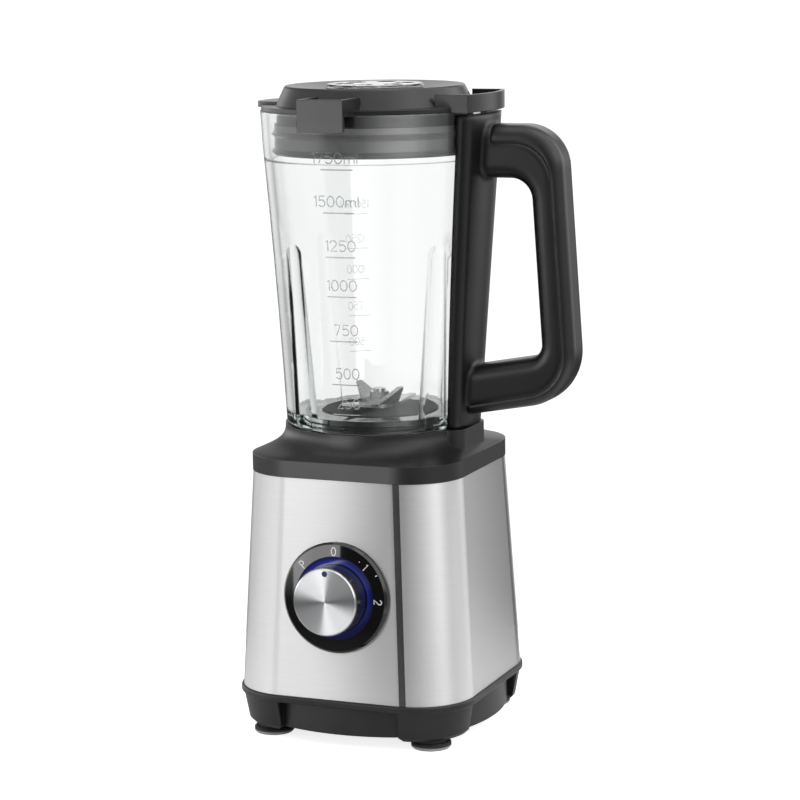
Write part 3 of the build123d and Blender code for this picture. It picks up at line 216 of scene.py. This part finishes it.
def brushedMetal(name, spec):  # streaks run along the brushing, drawn coarser than real so that they show
    material, tree, surface = startMaterial(name, {"Metallic": 1.0})
    place = addNode(tree, "ShaderNodeTexCoord")
    squeeze = addNode(tree, "ShaderNodeMapping", {"Scale": spec["run"]}, {"Vector": place.outputs["Object"]})
    streak = addNode(tree, "ShaderNodeTexNoise",
                     {"Scale": perMetre(spec["streak"]), "Detail": 4.0, "Roughness": 0.6},
                     {"Vector": squeeze.outputs["Vector"]})
    tint = addNode(tree, "ShaderNodeValToRGB", links={"Fac": streak.outputs["Fac"]})
    setRamp(tint, [(0.25, spec["dark"]), (0.75, spec["light"])])
    low, high = spec["roughness"]
    dull = addNode(tree, "ShaderNodeMapRange", {"To Min": low, "To Max": high},
                   {"Value": streak.outputs["Fac"]})
    relief = addNode(tree, "ShaderNodeBump", {"Strength": spec["relief"], "Distance": 0.02 * mm},
                     {"Height": streak.outputs["Fac"]})
    tree.links.new(tint.outputs["Color"], surface.inputs["Base Color"])
    tree.links.new(dull.outputs["Result"], surface.inputs["Roughness"])
    tree.links.new(relief.outputs["Normal"], surface.inputs["Normal"])
    if "stretch" in spec:  # brushing round the upright axis smears light up and down
        around = addNode(tree, "ShaderNodeTangent", {"direction_type": "RADIAL", "axis": "Z"})
        tree.links.new(around.outputs["Tangent"], surface.inputs["Tangent"])
        surface.inputs["Anisotropic"].default_value = spec["stretch"]
        surface.inputs["Anisotropic Rotation"].default_value = acrossBrushing
    if "belly" in spec:  # pressed sheet is never quite flat, its faces shed light as if bowed outwards
        level = levelReach(tree, place)
        reach = addNode(tree, "ShaderNodeVectorMath", {"operation": "DOT_PRODUCT"}, {0: level, 1: level})
        belly = addNode(tree, "ShaderNodeBump", {"invert": True, "Strength": 1.0, "Distance": spec["belly"]},
                        {"Height": reach.outputs["Value"]})
        tree.links.new(belly.outputs["Normal"], relief.inputs["Normal"])
    return material


# stainless sheet, belt-brushed round the body: pale grey, each light drawn out to a soft upright band
steelSpec = {"dark": "#bebebe", "light": "#c5c5c5", "roughness": (0.35, 0.38), "streak": 0.5,
             "run": (0.02, 0.02, 1), "relief": 0.02, "stretch": 1.0, "belly": 0.35}
dress(brushedMetal("brushedStainless", steelSpec), "steel_shell")
# the joint strip is the same sheet folded in, toned down to dark grey
stripSpec = {"dark": "#484848", "light": "#545454", "roughness": (0.38, 0.48), "streak": 0.6,
             "run": (1, 1, 0.02), "relief": 0.1}
dress(brushedMetal("darkJointSteel", stripSpec), "seam_strip")
# blades are ground after stamping: bright with short scratches
bladeSpec = {"dark": "#b4b5b6", "light": "#d3d4d4", "roughness": (0.22, 0.34), "streak": 0.5,
             "run": (0.1, 1, 1), "relief": 0.2}
dress(brushedMetal("groundBladeSteel", bladeSpec), "lower_blade", "upper_blade", "blade_washer", "blade_nut")
# ground shafts: fine rings round the axis
shaftSpec = {"dark": "#a9aaab", "light": "#c4c5c5", "roughness": (0.18, 0.28), "streak": 0.4,
             "run": (0.05, 0.05, 1), "relief": 0.1}
dress(brushedMetal("groundShaftSteel", shaftSpec), "rotor_shaft", "switch_shaft", "blade_shaft")
# zinc plate on screws: blue-grey, slightly cloudy
zincSpec = {"dark": "#9fa3a8", "light": "#c2c6ca", "roughness": (0.3, 0.42), "streak": 1.5,
            "run": (1, 1, 1), "relief": 0.1}
dress(brushedMetal("zincPlatedSteel", zincSpec),
      "tray_screws", "board_screws", "stator_bolts", "motor_screws", "handle_screws")
# stacked motor sheets: thin dark lines every sheet
sheetSpec = {"dark": "#5c5e60", "light": "#8b8d8f", "roughness": (0.4, 0.55), "streak": 0.5,
             "run": (0.03, 0.03, 1), "relief": 0.3}
dress(brushedMetal("motorSheetStack", sheetSpec), "motor_stator", "rotor_core")
# enamelled copper wire: warm, fine lines along the turns
wireSpec = {"dark": "#8c4a26", "light": "#c8743f", "roughness": (0.28, 0.4), "streak": 0.8,
            "run": (0.2, 0.2, 1), "relief": 0.4}
dress(brushedMetal("enamelledCopper", wireSpec), "field_coils", "rotor_windings", "commutator")
# die-cast aluminium: dull silver with a sandy skin
castSpec = {"dark": "#a2a3a5", "light": "#babbbd", "roughness": (0.45, 0.6), "streak": 1.2,
            "run": (1, 1, 1), "relief": 0.3}
dress(brushedMetal("diecastAluminium", castSpec), "motor_upper_bracket", "motor_lower_bracket")
# sintered bronze: brown-gold, open pores
bronzeSpec = {"dark": "#7a5a2c", "light": "#a98446", "roughness": (0.4, 0.55), "streak": 0.4,
              "run": (1, 1, 1), "relief": 0.4}
dress(brushedMetal("sinteredBronze", bronzeSpec),
      "upper_bearing", "lower_bearing", "lower_bush", "upper_bush")
print("metals done")

# the dial stands on a slightly leaning face, so its marks and rings use the knob's own axis
dialAxis = Vector(joints["knob_turn"]["axis"]).normalized()
dialFoot = Vector(joints["knob_turn"]["pos_m"])
dialRight = Vector((1, 0, 0))
dialUp = dialAxis.cross(dialRight).normalized()


def dialFrame(height):  # maps x right, y up, z outwards to a level above the steel face
    centre = dialFoot + dialAxis * height
    turn = Matrix((dialRight, dialUp, dialAxis)).transposed().to_4x4()
    return Matrix.Translation(centre) @ turn


def dialReach(tree, place):  # way from the dial's foot to the shaded point, and its distance from the axis
    out = addNode(tree, "ShaderNodeVectorMath", {"operation": "SUBTRACT", 1: dialFoot},
                  {0: place.outputs["Object"]})
    across = addNode(tree, "ShaderNodeVectorMath", {"operation": "CROSS_PRODUCT", 1: dialAxis},
                     {0: out.outputs["Vector"]})
    radius = addNode(tree, "ShaderNodeVectorMath", {"operation": "LENGTH"}, {0: across.outputs["Vector"]})
    return out.outputs["Vector"], radius.outputs["Value"]


# spun aluminium: turned rings on the face give a bow-tie of light that stays put as the knob turns
knobSpec = {"dark": "#c2c3c5", "light": "#d2d3d4", "ring": 0.3, "roughness": (0.27, 0.3), "relief": 0.06,
            "stretch": 1.0}


def spunMetal(name, spec):
    material, tree, surface = startMaterial(name, {"Metallic": 1.0, "Anisotropic": spec["stretch"],
                                                   "Anisotropic Rotation": acrossBrushing})
    place = addNode(tree, "ShaderNodeTexCoord")
    radius = dialReach(tree, place)[1]
    rings = addNode(tree, "ShaderNodeTexNoise",
                    {"noise_dimensions": "1D", "Scale": perMetre(spec["ring"]), "Detail": 3.0},
                    {"W": radius})
    tint = addNode(tree, "ShaderNodeValToRGB", links={"Fac": rings.outputs["Fac"]})
    setRamp(tint, [(0.3, spec["dark"]), (0.7, spec["light"])])
    low, high = spec["roughness"]
    dull = addNode(tree, "ShaderNodeMapRange", {"To Min": low, "To Max": high},
                   {"Value": rings.outputs["Fac"]})
    relief = addNode(tree, "ShaderNodeBump", {"Strength": spec["relief"], "Distance": 0.02 * mm},
                     {"Height": rings.outputs["Fac"]})
    around = addNode(tree, "ShaderNodeTangent", {"direction_type": "RADIAL", "axis": "Y"})
    tree.links.new(tint.outputs["Color"], surface.inputs["Base Color"])
    tree.links.new(dull.outputs["Result"], surface.inputs["Roughness"])
    tree.links.new(relief.outputs["Normal"], surface.inputs["Normal"])
    tree.links.new(around.outputs["Tangent"], surface.inputs["Tangent"])
    return material


dress(spunMetal("spunAluminium", knobSpec), "knob_cap")
# the knob's side is turned and polished: it mirrors the dial and the lit ring
sideSpec = {"dark": "#8d8e92", "light": "#a6a7aa", "roughness": (0.2, 0.26), "streak": 0.8,
            "run": (1, 1, 1), "relief": 0.03}
dress(brushedMetal("polishedAluminium", sideSpec), "knob_body")

# polished acrylic: near-black, mirror-like, with faint wipe marks in its gloss
dialSpec = {"colour": "#030304", "roughness": (0.02, 0.06), "smear": 14, "dome": 1.4}


def polishedBlack(name, spec):
    material, tree, surface = startMaterial(name, {"Base Color": spec["colour"], "IOR": 1.49})
    place = addNode(tree, "ShaderNodeTexCoord")
    smear = addNode(tree, "ShaderNodeTexNoise",
                    {"Scale": perMetre(spec["smear"]), "Detail": 4.0, "Distortion": 1.0},
                    {"Vector": place.outputs["Object"]})
    low, high = spec["roughness"]
    dull = addNode(tree, "ShaderNodeMapRange", {"To Min": low, "To Max": high},
                   {"Value": smear.outputs["Fac"]})
    out = addNode(tree, "ShaderNodeVectorMath", {"operation": "SUBTRACT", 1: dialFoot},
                  {0: place.outputs["Object"]})
    bulge = addNode(tree, "ShaderNodeVectorMath", {"operation": "DOT_PRODUCT"},
                    {0: out.outputs["Vector"], 1: out.outputs["Vector"]})
    dome = addNode(tree, "ShaderNodeBump", {"invert": True, "Strength": 1.0, "Distance": spec["dome"]},
                   {"Height": bulge.outputs["Value"]})  # sheds light as if pressed out a millimetre or two
    tree.links.new(dull.outputs["Result"], surface.inputs["Roughness"])
    tree.links.new(dome.outputs["Normal"], surface.inputs["Normal"])
    return material


dress(polishedBlack("polishedAcrylicBlack", dialSpec), "dial_plate")

# tinted polycarbonate lit from behind: deep blue, strongest next to the knob and at the top, dim below
ringSpec = {"tint": "#060a38", "near": "#1d30a4", "middle": "#0b155a", "far": "#02030d",
            "inner": 22.8, "outer": 26.8, "glow": 0.6, "foot": 0.02}


def litRing(name, spec):
    material, tree, surface = startMaterial(name, {"Base Color": spec["tint"], "IOR": 1.58,
                                                   "Roughness": 0.12, "Emission Strength": spec["glow"]})
    place = addNode(tree, "ShaderNodeTexCoord")
    out, radius = dialReach(tree, place)
    inner, outer = spec["inner"] * mm, spec["outer"] * mm
    fade = addNode(tree, "ShaderNodeMapRange", {"From Min": inner, "From Max": outer}, {"Value": radius})
    glow = addNode(tree, "ShaderNodeValToRGB", links={"Fac": fade.outputs["Result"]})
    setRamp(glow, [(0.1, spec["near"]), (0.6, spec["middle"]), (0.95, spec["far"])])
    height = addNode(tree, "ShaderNodeSeparateXYZ", links={0: out})
    share = addNode(tree, "ShaderNodeMapRange",
                    {"From Min": -outer, "From Max": outer, "To Min": spec["foot"]},
                    {"Value": height.outputs["Z"]})
    dimmed = addNode(tree, "ShaderNodeVectorMath", {"operation": "SCALE"},
                     {0: glow.outputs["Color"], "Scale": share.outputs["Result"]})
    tree.links.new(dimmed.outputs["Vector"], surface.inputs["Emission Color"])
    return material


dress(litRing("litPolycarbonate", ringSpec), "light_ring", "ring_leds")

# pointer is a pad-printed dot in dark blue lacquer with a soft gloss
dotSpec = {"colour": "#141a3c", "light": "#1c2450", "roughness": (0.25, 0.35), "grain": 0.5,
           "mottle": 2, "relief": 0.05, "sheen": 0.5}
dress(grainedPlastic("darkBlueLacquer", dotSpec), "knob_pointer")
# solder mask over glass fibre: green, finely mottled by the fibres below
boardSpec = {"colour": "#123f24", "light": "#1b5c35", "roughness": (0.25, 0.4), "grain": 0.8,
             "mottle": 2, "relief": 0.1, "sheen": 0.5}
dress(grainedPlastic("circuitBoard", boardSpec), "control_board")
print("dial materials done")


def pressedGlass(name, spec):  # wave and edge in millimetres, body colour with its density per metre
    material, tree, surface = startMaterial(name, {"Base Color": spec["colour"], "IOR": spec["ior"],
                                                   "Roughness": 0.0, "Transmission Weight": 1.0})
    place = addNode(tree, "ShaderNodeTexCoord")
    wave = addNode(tree, "ShaderNodeTexNoise", {"Scale": perMetre(spec["wave"]), "Detail": 1.0},
                   {"Vector": place.outputs["Object"]})
    edge = addNode(tree, "ShaderNodeBevel", {"samples": 6, "Radius": spec["edge"] * mm})
    normal = edge.outputs["Normal"]
    if "soft" in spec:  # fire-polished flutes bend light less than cut ones, so walls lean back to the round
        spoke = addNode(tree, "ShaderNodeVectorMath", {"operation": "NORMALIZE"},
                        {0: levelReach(tree, place)})
        along = addNode(tree, "ShaderNodeVectorMath", {"operation": "DOT_PRODUCT"},
                        {0: normal, 1: spoke.outputs["Vector"]})
        share = addNode(tree, "ShaderNodeVectorMath", {"operation": "SCALE"},
                        {0: spoke.outputs["Vector"], "Scale": along.outputs["Value"]})
        lean = addNode(tree, "ShaderNodeVectorMath", {"operation": "MULTIPLY_ADD", 1: [spec["soft"]] * 3},
                       {0: share.outputs["Vector"], 2: normal})
        even = addNode(tree, "ShaderNodeVectorMath", {"operation": "NORMALIZE"}, {0: lean.outputs["Vector"]})
        normal = even.outputs["Vector"]
    relief = addNode(tree, "ShaderNodeBump", {"Strength": spec["relief"], "Distance": 1 * mm},
                     {"Height": wave.outputs["Fac"], "Normal": normal})
    body = addNode(tree, "ShaderNodeVolumeAbsorption",
                   {"Color": hexColour(spec["body"]), "Density": spec["density"]})
    tree.links.new(relief.outputs["Normal"], surface.inputs["Normal"])
    tree.links.new(body.outputs["Volume"], tree.nodes["Material Output"].inputs["Volume"])
    return material


# pressed soda-lime glass: clear with a faint green body that deepens at thick edges
glassSpec = {"colour": "#ffffff", "ior": 1.5, "wave": 26, "relief": 0.03, "edge": 2.0, "soft": 1.0,
             "body": "#a8dccb", "density": 5}
dress(pressedGlass("pressedGlass", glassSpec), "glass_jar")
# clear polystyrene cap: brighter and thinner than the jar, polished in its tool
capSpec = {"colour": "#ffffff", "ior": 1.57, "wave": 15, "relief": 0.02, "edge": 0.6,
           "body": "#d8e4e4", "density": 5}
dress(pressedGlass("clearPolystyrene", capSpec), "filler_cap")
print("clear materials done")


def arc(x, y, wide, tall, start, end, steps):  # points along part of an ellipse, angles in degrees
    turns = [math.radians(start + (end - start) * i / steps) for i in range(steps + 1)]
    return [(x + wide * math.cos(turn), y + tall * math.sin(turn)) for turn in turns]


# letters and numerals as single-line strokes in a cell one unit high, each with its width
glyphs = {
    "0": (0.56, [arc(0.28, 0.5, 0.28, 0.5, 90, 450, 24)]),
    "1": (0.16, [[(0.0, 0.84), (0.14, 1.0), (0.14, 0.0)]]),
    "2": (0.54, [arc(0.27, 0.73, 0.26, 0.27, 170, -35, 12) + [(0.02, 0.0), (0.54, 0.0)]]),
    "5": (0.54, [[(0.5, 1.0), (0.1, 1.0), (0.05, 0.55)] + arc(0.26, 0.32, 0.27, 0.32, 125, -145, 14)]),
    "7": (0.52, [[(0.0, 1.0), (0.52, 1.0), (0.18, 0.0)]]),
    "P": (0.48, [[(0.0, 0.0), (0.0, 1.0), (0.22, 1.0)] + arc(0.22, 0.74, 0.26, 0.26, 90, -90, 10)
                 + [(0.0, 0.48)]]),
    "m": (0.72, [[(0.0, 0.0), (0.0, 0.62)], arc(0.18, 0.44, 0.18, 0.18, 180, 0, 8) + [(0.36, 0.0)],
                 arc(0.54, 0.44, 0.18, 0.18, 180, 0, 8) + [(0.72, 0.0)]]),
    "l": (0.04, [[(0.02, 0.0), (0.02, 1.0)]]),
}


def wordStrokes(word, height, breadth, gap):  # strokes of a word, left end at zero, with its whole width
    strokes, pen = [], 0.0
    for letter in word:
        width, lines = glyphs[letter]
        strokes += [[(pen + x * breadth, y * height) for x, y in line] for line in lines]
        pen += width * breadth + gap
    return strokes, pen - gap


def strokeMesh(name, lines, radius):  # round strokes along lines of points, as one mesh piece
    curve = bpy.data.curves.new(name + "Lines", "CURVE")
    curve.dimensions = "3D"
    curve.bevel_depth = radius
    curve.bevel_resolution = 2
    curve.use_fill_caps = True
    for line in lines:
        spline = curve.splines.new("POLY")
        spline.points.add(len(line) - 1)
        for point, place in zip(spline.points, line):
            point.co = (*place, 1)
    holder = bpy.data.objects.new(name + "Lines", curve)
    mesh = bpy.data.meshes.new_from_object(holder)
    bpy.data.objects.remove(holder)
    for face in mesh.polygons:
        face.use_smooth = True
    piece = bpy.data.objects.new(name, mesh)
    bpy.context.collection.objects.link(piece)
    return piece


def cloudedTint(name, spec, shader):  # a mark's colour, a little uneven from place to place
    material, tree, surface = startMaterial(name, shader)
    place = addNode(tree, "ShaderNodeTexCoord")
    cloud = addNode(tree, "ShaderNodeTexNoise", {"Scale": perMetre(spec["cloud"])},
                    {"Vector": place.outputs["Object"]})
    tint = addNode(tree, "ShaderNodeValToRGB", links={"Fac": cloud.outputs["Fac"]})
    setRamp(tint, spec["tints"])
    tree.links.new(tint.outputs["Color"], surface.inputs["Base Color"])
    return material


# dial print: white screen ink, a thin coat that covers a little unevenly
dialMarks = {  # millimetres and degrees, a turn from straight up is positive to the left
    "level": 4.0, "circle": 29.9, "height": 5.2, "stroke": 0.34, "flat": 0.2, "gap": 0.8,
    "letters": [("P", 47.5), ("0", 1.5), ("1", -44.8), ("2", -91.0)],
    "dashes": [(-60.2, 33.0, 1.3), (-35.0, 29.9, 0.5)],  # turn, circle and length
    "cloud": 0.8, "tints": [(0.2, "#d4d5d8"), (0.7, "#e9eaec")],
}


def makeDialMarks(spec):
    lines = []
    for word, turn in spec["letters"]:
        strokes, width = wordStrokes(word, spec["height"], spec["height"], spec["gap"])
        spin = Matrix.Rotation(math.radians(turn), 3, "Z")
        for stroke in strokes:
            lines.append([spin @ Vector((x - width / 2, y + spec["circle"] - spec["height"] / 2, 0))
                          for x, y in stroke])
    for turn, circle, length in spec["dashes"]:
        spin = Matrix.Rotation(math.radians(turn), 3, "Z")
        lines.append([spin @ Vector((0, circle + side * length / 2, 0)) for side in (-1, 1)])
    piece = strokeMesh("dialPrint", [[point * mm for point in line] for line in lines], spec["stroke"] * mm)
    piece.data.transform(dialFrame(spec["level"] * mm) @ Matrix.Diagonal((1, 1, spec["flat"], 1)))
    piece.data.materials.append(cloudedTint("screenInkWhite", spec, {"Roughness": 0.45}))
    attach(piece, "base")


makeDialMarks(dialMarks)

# volume marks: raised in the glass mould, one scale in front and one at the back
scaleMarks = {  # millimetres, each scale's middle in degrees from +X
    "lift": 4.0, "proud": 0.1, "overhang": 3, "wall": 68, "outside": 120, "lineSteps": 10,
    "cloud": 1.5, "tints": [(0.3, "#cdd3d3"), (0.7, "#dfe3e3")],
    "jarScaleFront": {
        "stroke": 0.36, "middle": -87.5, "height": 6.6, "breadth": 8.2, "gap": 1.5, "line": 20.0,
        "rows": [("1750ml", 370.8), ("1500ml", 343.6), ("1250", 315.5), ("1000", 290.3), ("750", 261.7),
                 ("500", 233.7), ("250", 214.5)]},
    "jarScaleBack": {
        "stroke": 0.18, "middle": 125.0, "height": 5.2, "breadth": 5.8, "gap": 1.1, "line": 16.3,
        "rows": [("1500ml", 330.0), ("1250", 307.0), ("1000", 286.5), ("750", 262.0), ("500", 238.0)]},
}


def makeScaleMarks(spec):
    glass = nodes["glass_jar"].data
    skin = BVHTree.FromPolygons([v.co for v in glass.vertices], [tuple(p.vertices) for p in glass.polygons])
    raised = cloudedTint("raisedGlassMark", spec, {"IOR": 1.5, "Transmission Weight": 0.9, "Roughness": 0.1})

    def onGlass(x, z, middle):  # point on the glass at an arc length from the scale's middle
        angle = math.radians(middle) + x / spec["wall"]
        outward = Vector((math.cos(angle), math.sin(angle), 0))
        start = jarAxis + outward * spec["outside"] * mm + Vector((0, 0, z * mm))
        return skin.ray_cast(start, -outward)[0] + outward * spec["proud"] * mm

    for name in ("jarScaleFront", "jarScaleBack"):
        scale = spec[name]
        lines, half = [], scale["line"] / 2
        along = [-half + i * scale["line"] / spec["lineSteps"] for i in range(spec["lineSteps"] + 1)]
        for word, level in scale["rows"]:
            lines.append([onGlass(x, level, scale["middle"]) for x in along])
            strokes, width = wordStrokes(word, scale["height"], scale["breadth"], scale["gap"])
            left = half - width + (spec["overhang"] if word.endswith("ml") else 0)
            foot = level + spec["lift"]
            for stroke in strokes:
                lines.append([onGlass(left + x, foot + y, scale["middle"]) for x, y in stroke])
        piece = strokeMesh(name, lines, scale["stroke"] * mm)
        piece.data.materials.append(raised)
        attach(piece, "jar")


makeScaleMarks(scaleMarks)
print("marks done")

# studio: a small white table, two strip lights at the left, a low card in front and a soft box above
floorSpec = {"radius": 0.25, "sides": 96, "paper": "#d8d8d8", "glow": 0.8, "spill": 0.05}


def makeFloor(spec):  # glows white to the camera and spills little of that on the part
    mesh = bpy.data.meshes.new("studioFloor")
    shape = bmesh.new()
    bmesh.ops.create_circle(shape, cap_ends=True, segments=spec["sides"], radius=spec["radius"])
    shape.to_mesh(mesh)
    shape.free()
    floor = bpy.data.objects.new("studioFloor", mesh)
    bpy.context.collection.objects.link(floor)
    floor.location = jarAxis
    paper, tree, surface = startMaterial("whiteBackdropPaper", {
        "Base Color": spec["paper"], "Roughness": 0.9, "Emission Color": "#ffffff"})
    path = addNode(tree, "ShaderNodeLightPath")
    glow = addNode(tree, "ShaderNodeMapRange", {"To Min": spec["spill"], "To Max": spec["glow"]},
                   {"Value": path.outputs["Is Camera Ray"]})
    tree.links.new(glow.outputs["Result"], surface.inputs["Emission Strength"])
    mesh.materials.append(paper)


makeFloor(floorSpec)

lampSpecs = {  # metres and watts; lit names the nodes that flags leave in the light, none means all
    "stripLeft": {"place": (-0.46, -0.944, 0.33), "aim": (0, 0, 0.33), "size": (0.22, 0.42), "power": 1.4,
                  "lit": [name for name in nodes if name != "glass_jar"]},
    "stripLow": {"place": (-0.46, -0.944, 0.03), "aim": (0, 0, 0.03), "size": (0.22, 0.18), "power": 0.6,
                 "lit": ["dial_plate"]},
    "cardFront": {"place": (-0.45, -1.1, 0.02), "aim": (0, 0, 0.25), "size": (0.5, 0.25), "power": 4.2,
                  "lit": ["top_deck", "lid"]},
    "softboxTop": {"place": (-0.1, -0.35, 1.5), "aim": (0, 0, 0.2), "size": (1.2, 1.2), "power": 4.5,
                   "lit": []},
}


def makeLamp(name, spec):
    data = bpy.data.lights.new(name, "AREA")
    data.shape = "RECTANGLE"
    data.size, data.size_y = spec["size"]
    data.energy = spec["power"]
    lamp = bpy.data.objects.new(name, data)
    bpy.context.collection.objects.link(lamp)
    lamp.location = jarAxis + Vector(spec["place"])
    aim = Vector(spec["aim"]) - Vector(spec["place"])
    lamp.rotation_mode = "QUATERNION"
    lamp.rotation_quaternion = aim.to_track_quat("-Z", "Y")
    if spec["lit"]:
        lit = bpy.data.collections.new(name + "Lit")
        for nodeName in spec["lit"]:
            lit.objects.link(nodes[nodeName])
        lamp.light_linking.receiver_collection = lit


for lampName, lampSpec in lampSpecs.items():
    makeLamp(lampName, lampSpec)

# the room: soft grey bands to mirror, and levels behind the glass that make its edges draw lines
roomSpec = {  # around in degrees from the front, upward in degrees from level, each with its brightness
    "white": 1.12,
    "layers": [
        {"around": [(-125, 0), (-95, 0.9), (-75, 1.2), (-45, 1.3), (-26, 0.9), (0, 0.8), (25, 1.6), (50, 2.6),
                    (66, 3.6), (78, 4.3), (90, 3.4), (110, 2.2), (132, 0)],
         "upward": [(-90, 0.5), (-22, 0.4), (-14, 0.15), (2, 0.15), (14, 0.75), (60, 0.7), (90, 0.8)]},
        {"around": [(-180, 1.2), (-160, 1.2), (-145, 0.5), (-125, 0.3), (-100, 0), (100, 0), (125, 1.6),
                    (145, 2.7), (155, 1.65), (163, 0.2), (170, 0.2), (180, 1.2)],
         "upward": [(-90, 0.3), (-15, 0.15), (-2, 0.7), (3, 1.0), (50, 1.0), (90, 0.8)]},
        {"around": [(-140, 0), (-120, 2.8), (-60, 4.8), (-40, 5.6), (-28, 0)],
         "upward": [(-9, 0), (-2, 0.6), (4, 1.0), (10, 0.6), (17, 0)]},
    ],
    "through": [(-180, 0.5), (-172, 0.92), (-165, 1.0), (-147, 1.0), (-135, 0.96), (-119, 0.45), (-106, 0.45),
                (-92, 0.6), (-60, 1.0), (-40, 0.9), (-15, 0.4), (8, 0.5), (46, 2.8), (60, 2.8), (82, 0.9),
                (104, 0.85), (138, 0.85), (158, 0.75), (171, 0.3), (180, 0.5)],
}


def makeRoom(spec):  # white where the camera looks past the part, bands for all that is mirrored or bent
    world = bpy.data.worlds.new("studioRoom")
    world.use_nodes = True
    tree = world.node_tree
    place = addNode(tree, "ShaderNodeTexCoord")
    facing = addNode(tree, "ShaderNodeMapping", {"Scale": (1, -1, 1)}, {"Vector": place.outputs["Generated"]})
    parts = addNode(tree, "ShaderNodeSeparateXYZ", links={0: facing.outputs["Vector"]})
    turn = addNode(tree, "ShaderNodeMath", {"operation": "ARCTAN2"},
                   {0: parts.outputs["X"], 1: parts.outputs["Y"]})
    rise = addNode(tree, "ShaderNodeMath", {"operation": "ARCSINE"}, {0: parts.outputs["Z"]})
    spans, shares = {"around": 360, "upward": 180}, {}
    for way, angle in (("around", turn), ("upward", rise)):
        reach = math.radians(spans[way] / 2)
        shares[way] = addNode(tree, "ShaderNodeMapRange", {"From Min": -reach, "From Max": reach},
                              {"Value": angle.outputs["Value"]})

    def brightness(way, stops):  # levels by degrees, with zero degrees in the middle
        levels = addNode(tree, "ShaderNodeValToRGB", links={"Fac": shares[way].outputs["Result"]})
        setRamp(levels, [(0.5 + degrees / spans[way], level) for degrees, level in stops])
        return levels.outputs["Color"]

    mirrored = None
    for layer in spec["layers"]:  # around times upward, added to the layers before it
        links = {0: brightness("around", layer["around"]), 1: brightness("upward", layer["upward"])}
        if mirrored is not None:
            links[2] = mirrored.outputs["Vector"]
        mirrored = addNode(tree, "ShaderNodeVectorMath", {"operation": "MULTIPLY_ADD"}, links)
    path = addNode(tree, "ShaderNodeLightPath")
    amount, first, second, result = 0, 6, 7, 2  # a colour mix's sockets by place, since their names repeat
    bent = addNode(tree, "ShaderNodeMix", {"data_type": "RGBA"},
                   {amount: path.outputs["Is Transmission Ray"], first: mirrored.outputs["Vector"],
                    second: brightness("around", spec["through"])})
    seen = addNode(tree, "ShaderNodeMix", {"data_type": "RGBA", second: [spec["white"]] * 3 + [1]},
                   {amount: path.outputs["Is Camera Ray"], first: bent.outputs[result]})
    tree.links.new(seen.outputs[result], tree.nodes["Background"].inputs["Color"])
    bpy.context.scene.world = world


makeRoom(roomSpec)
bpy.context.scene.view_settings.view_transform = "Standard"
print("studio lit")
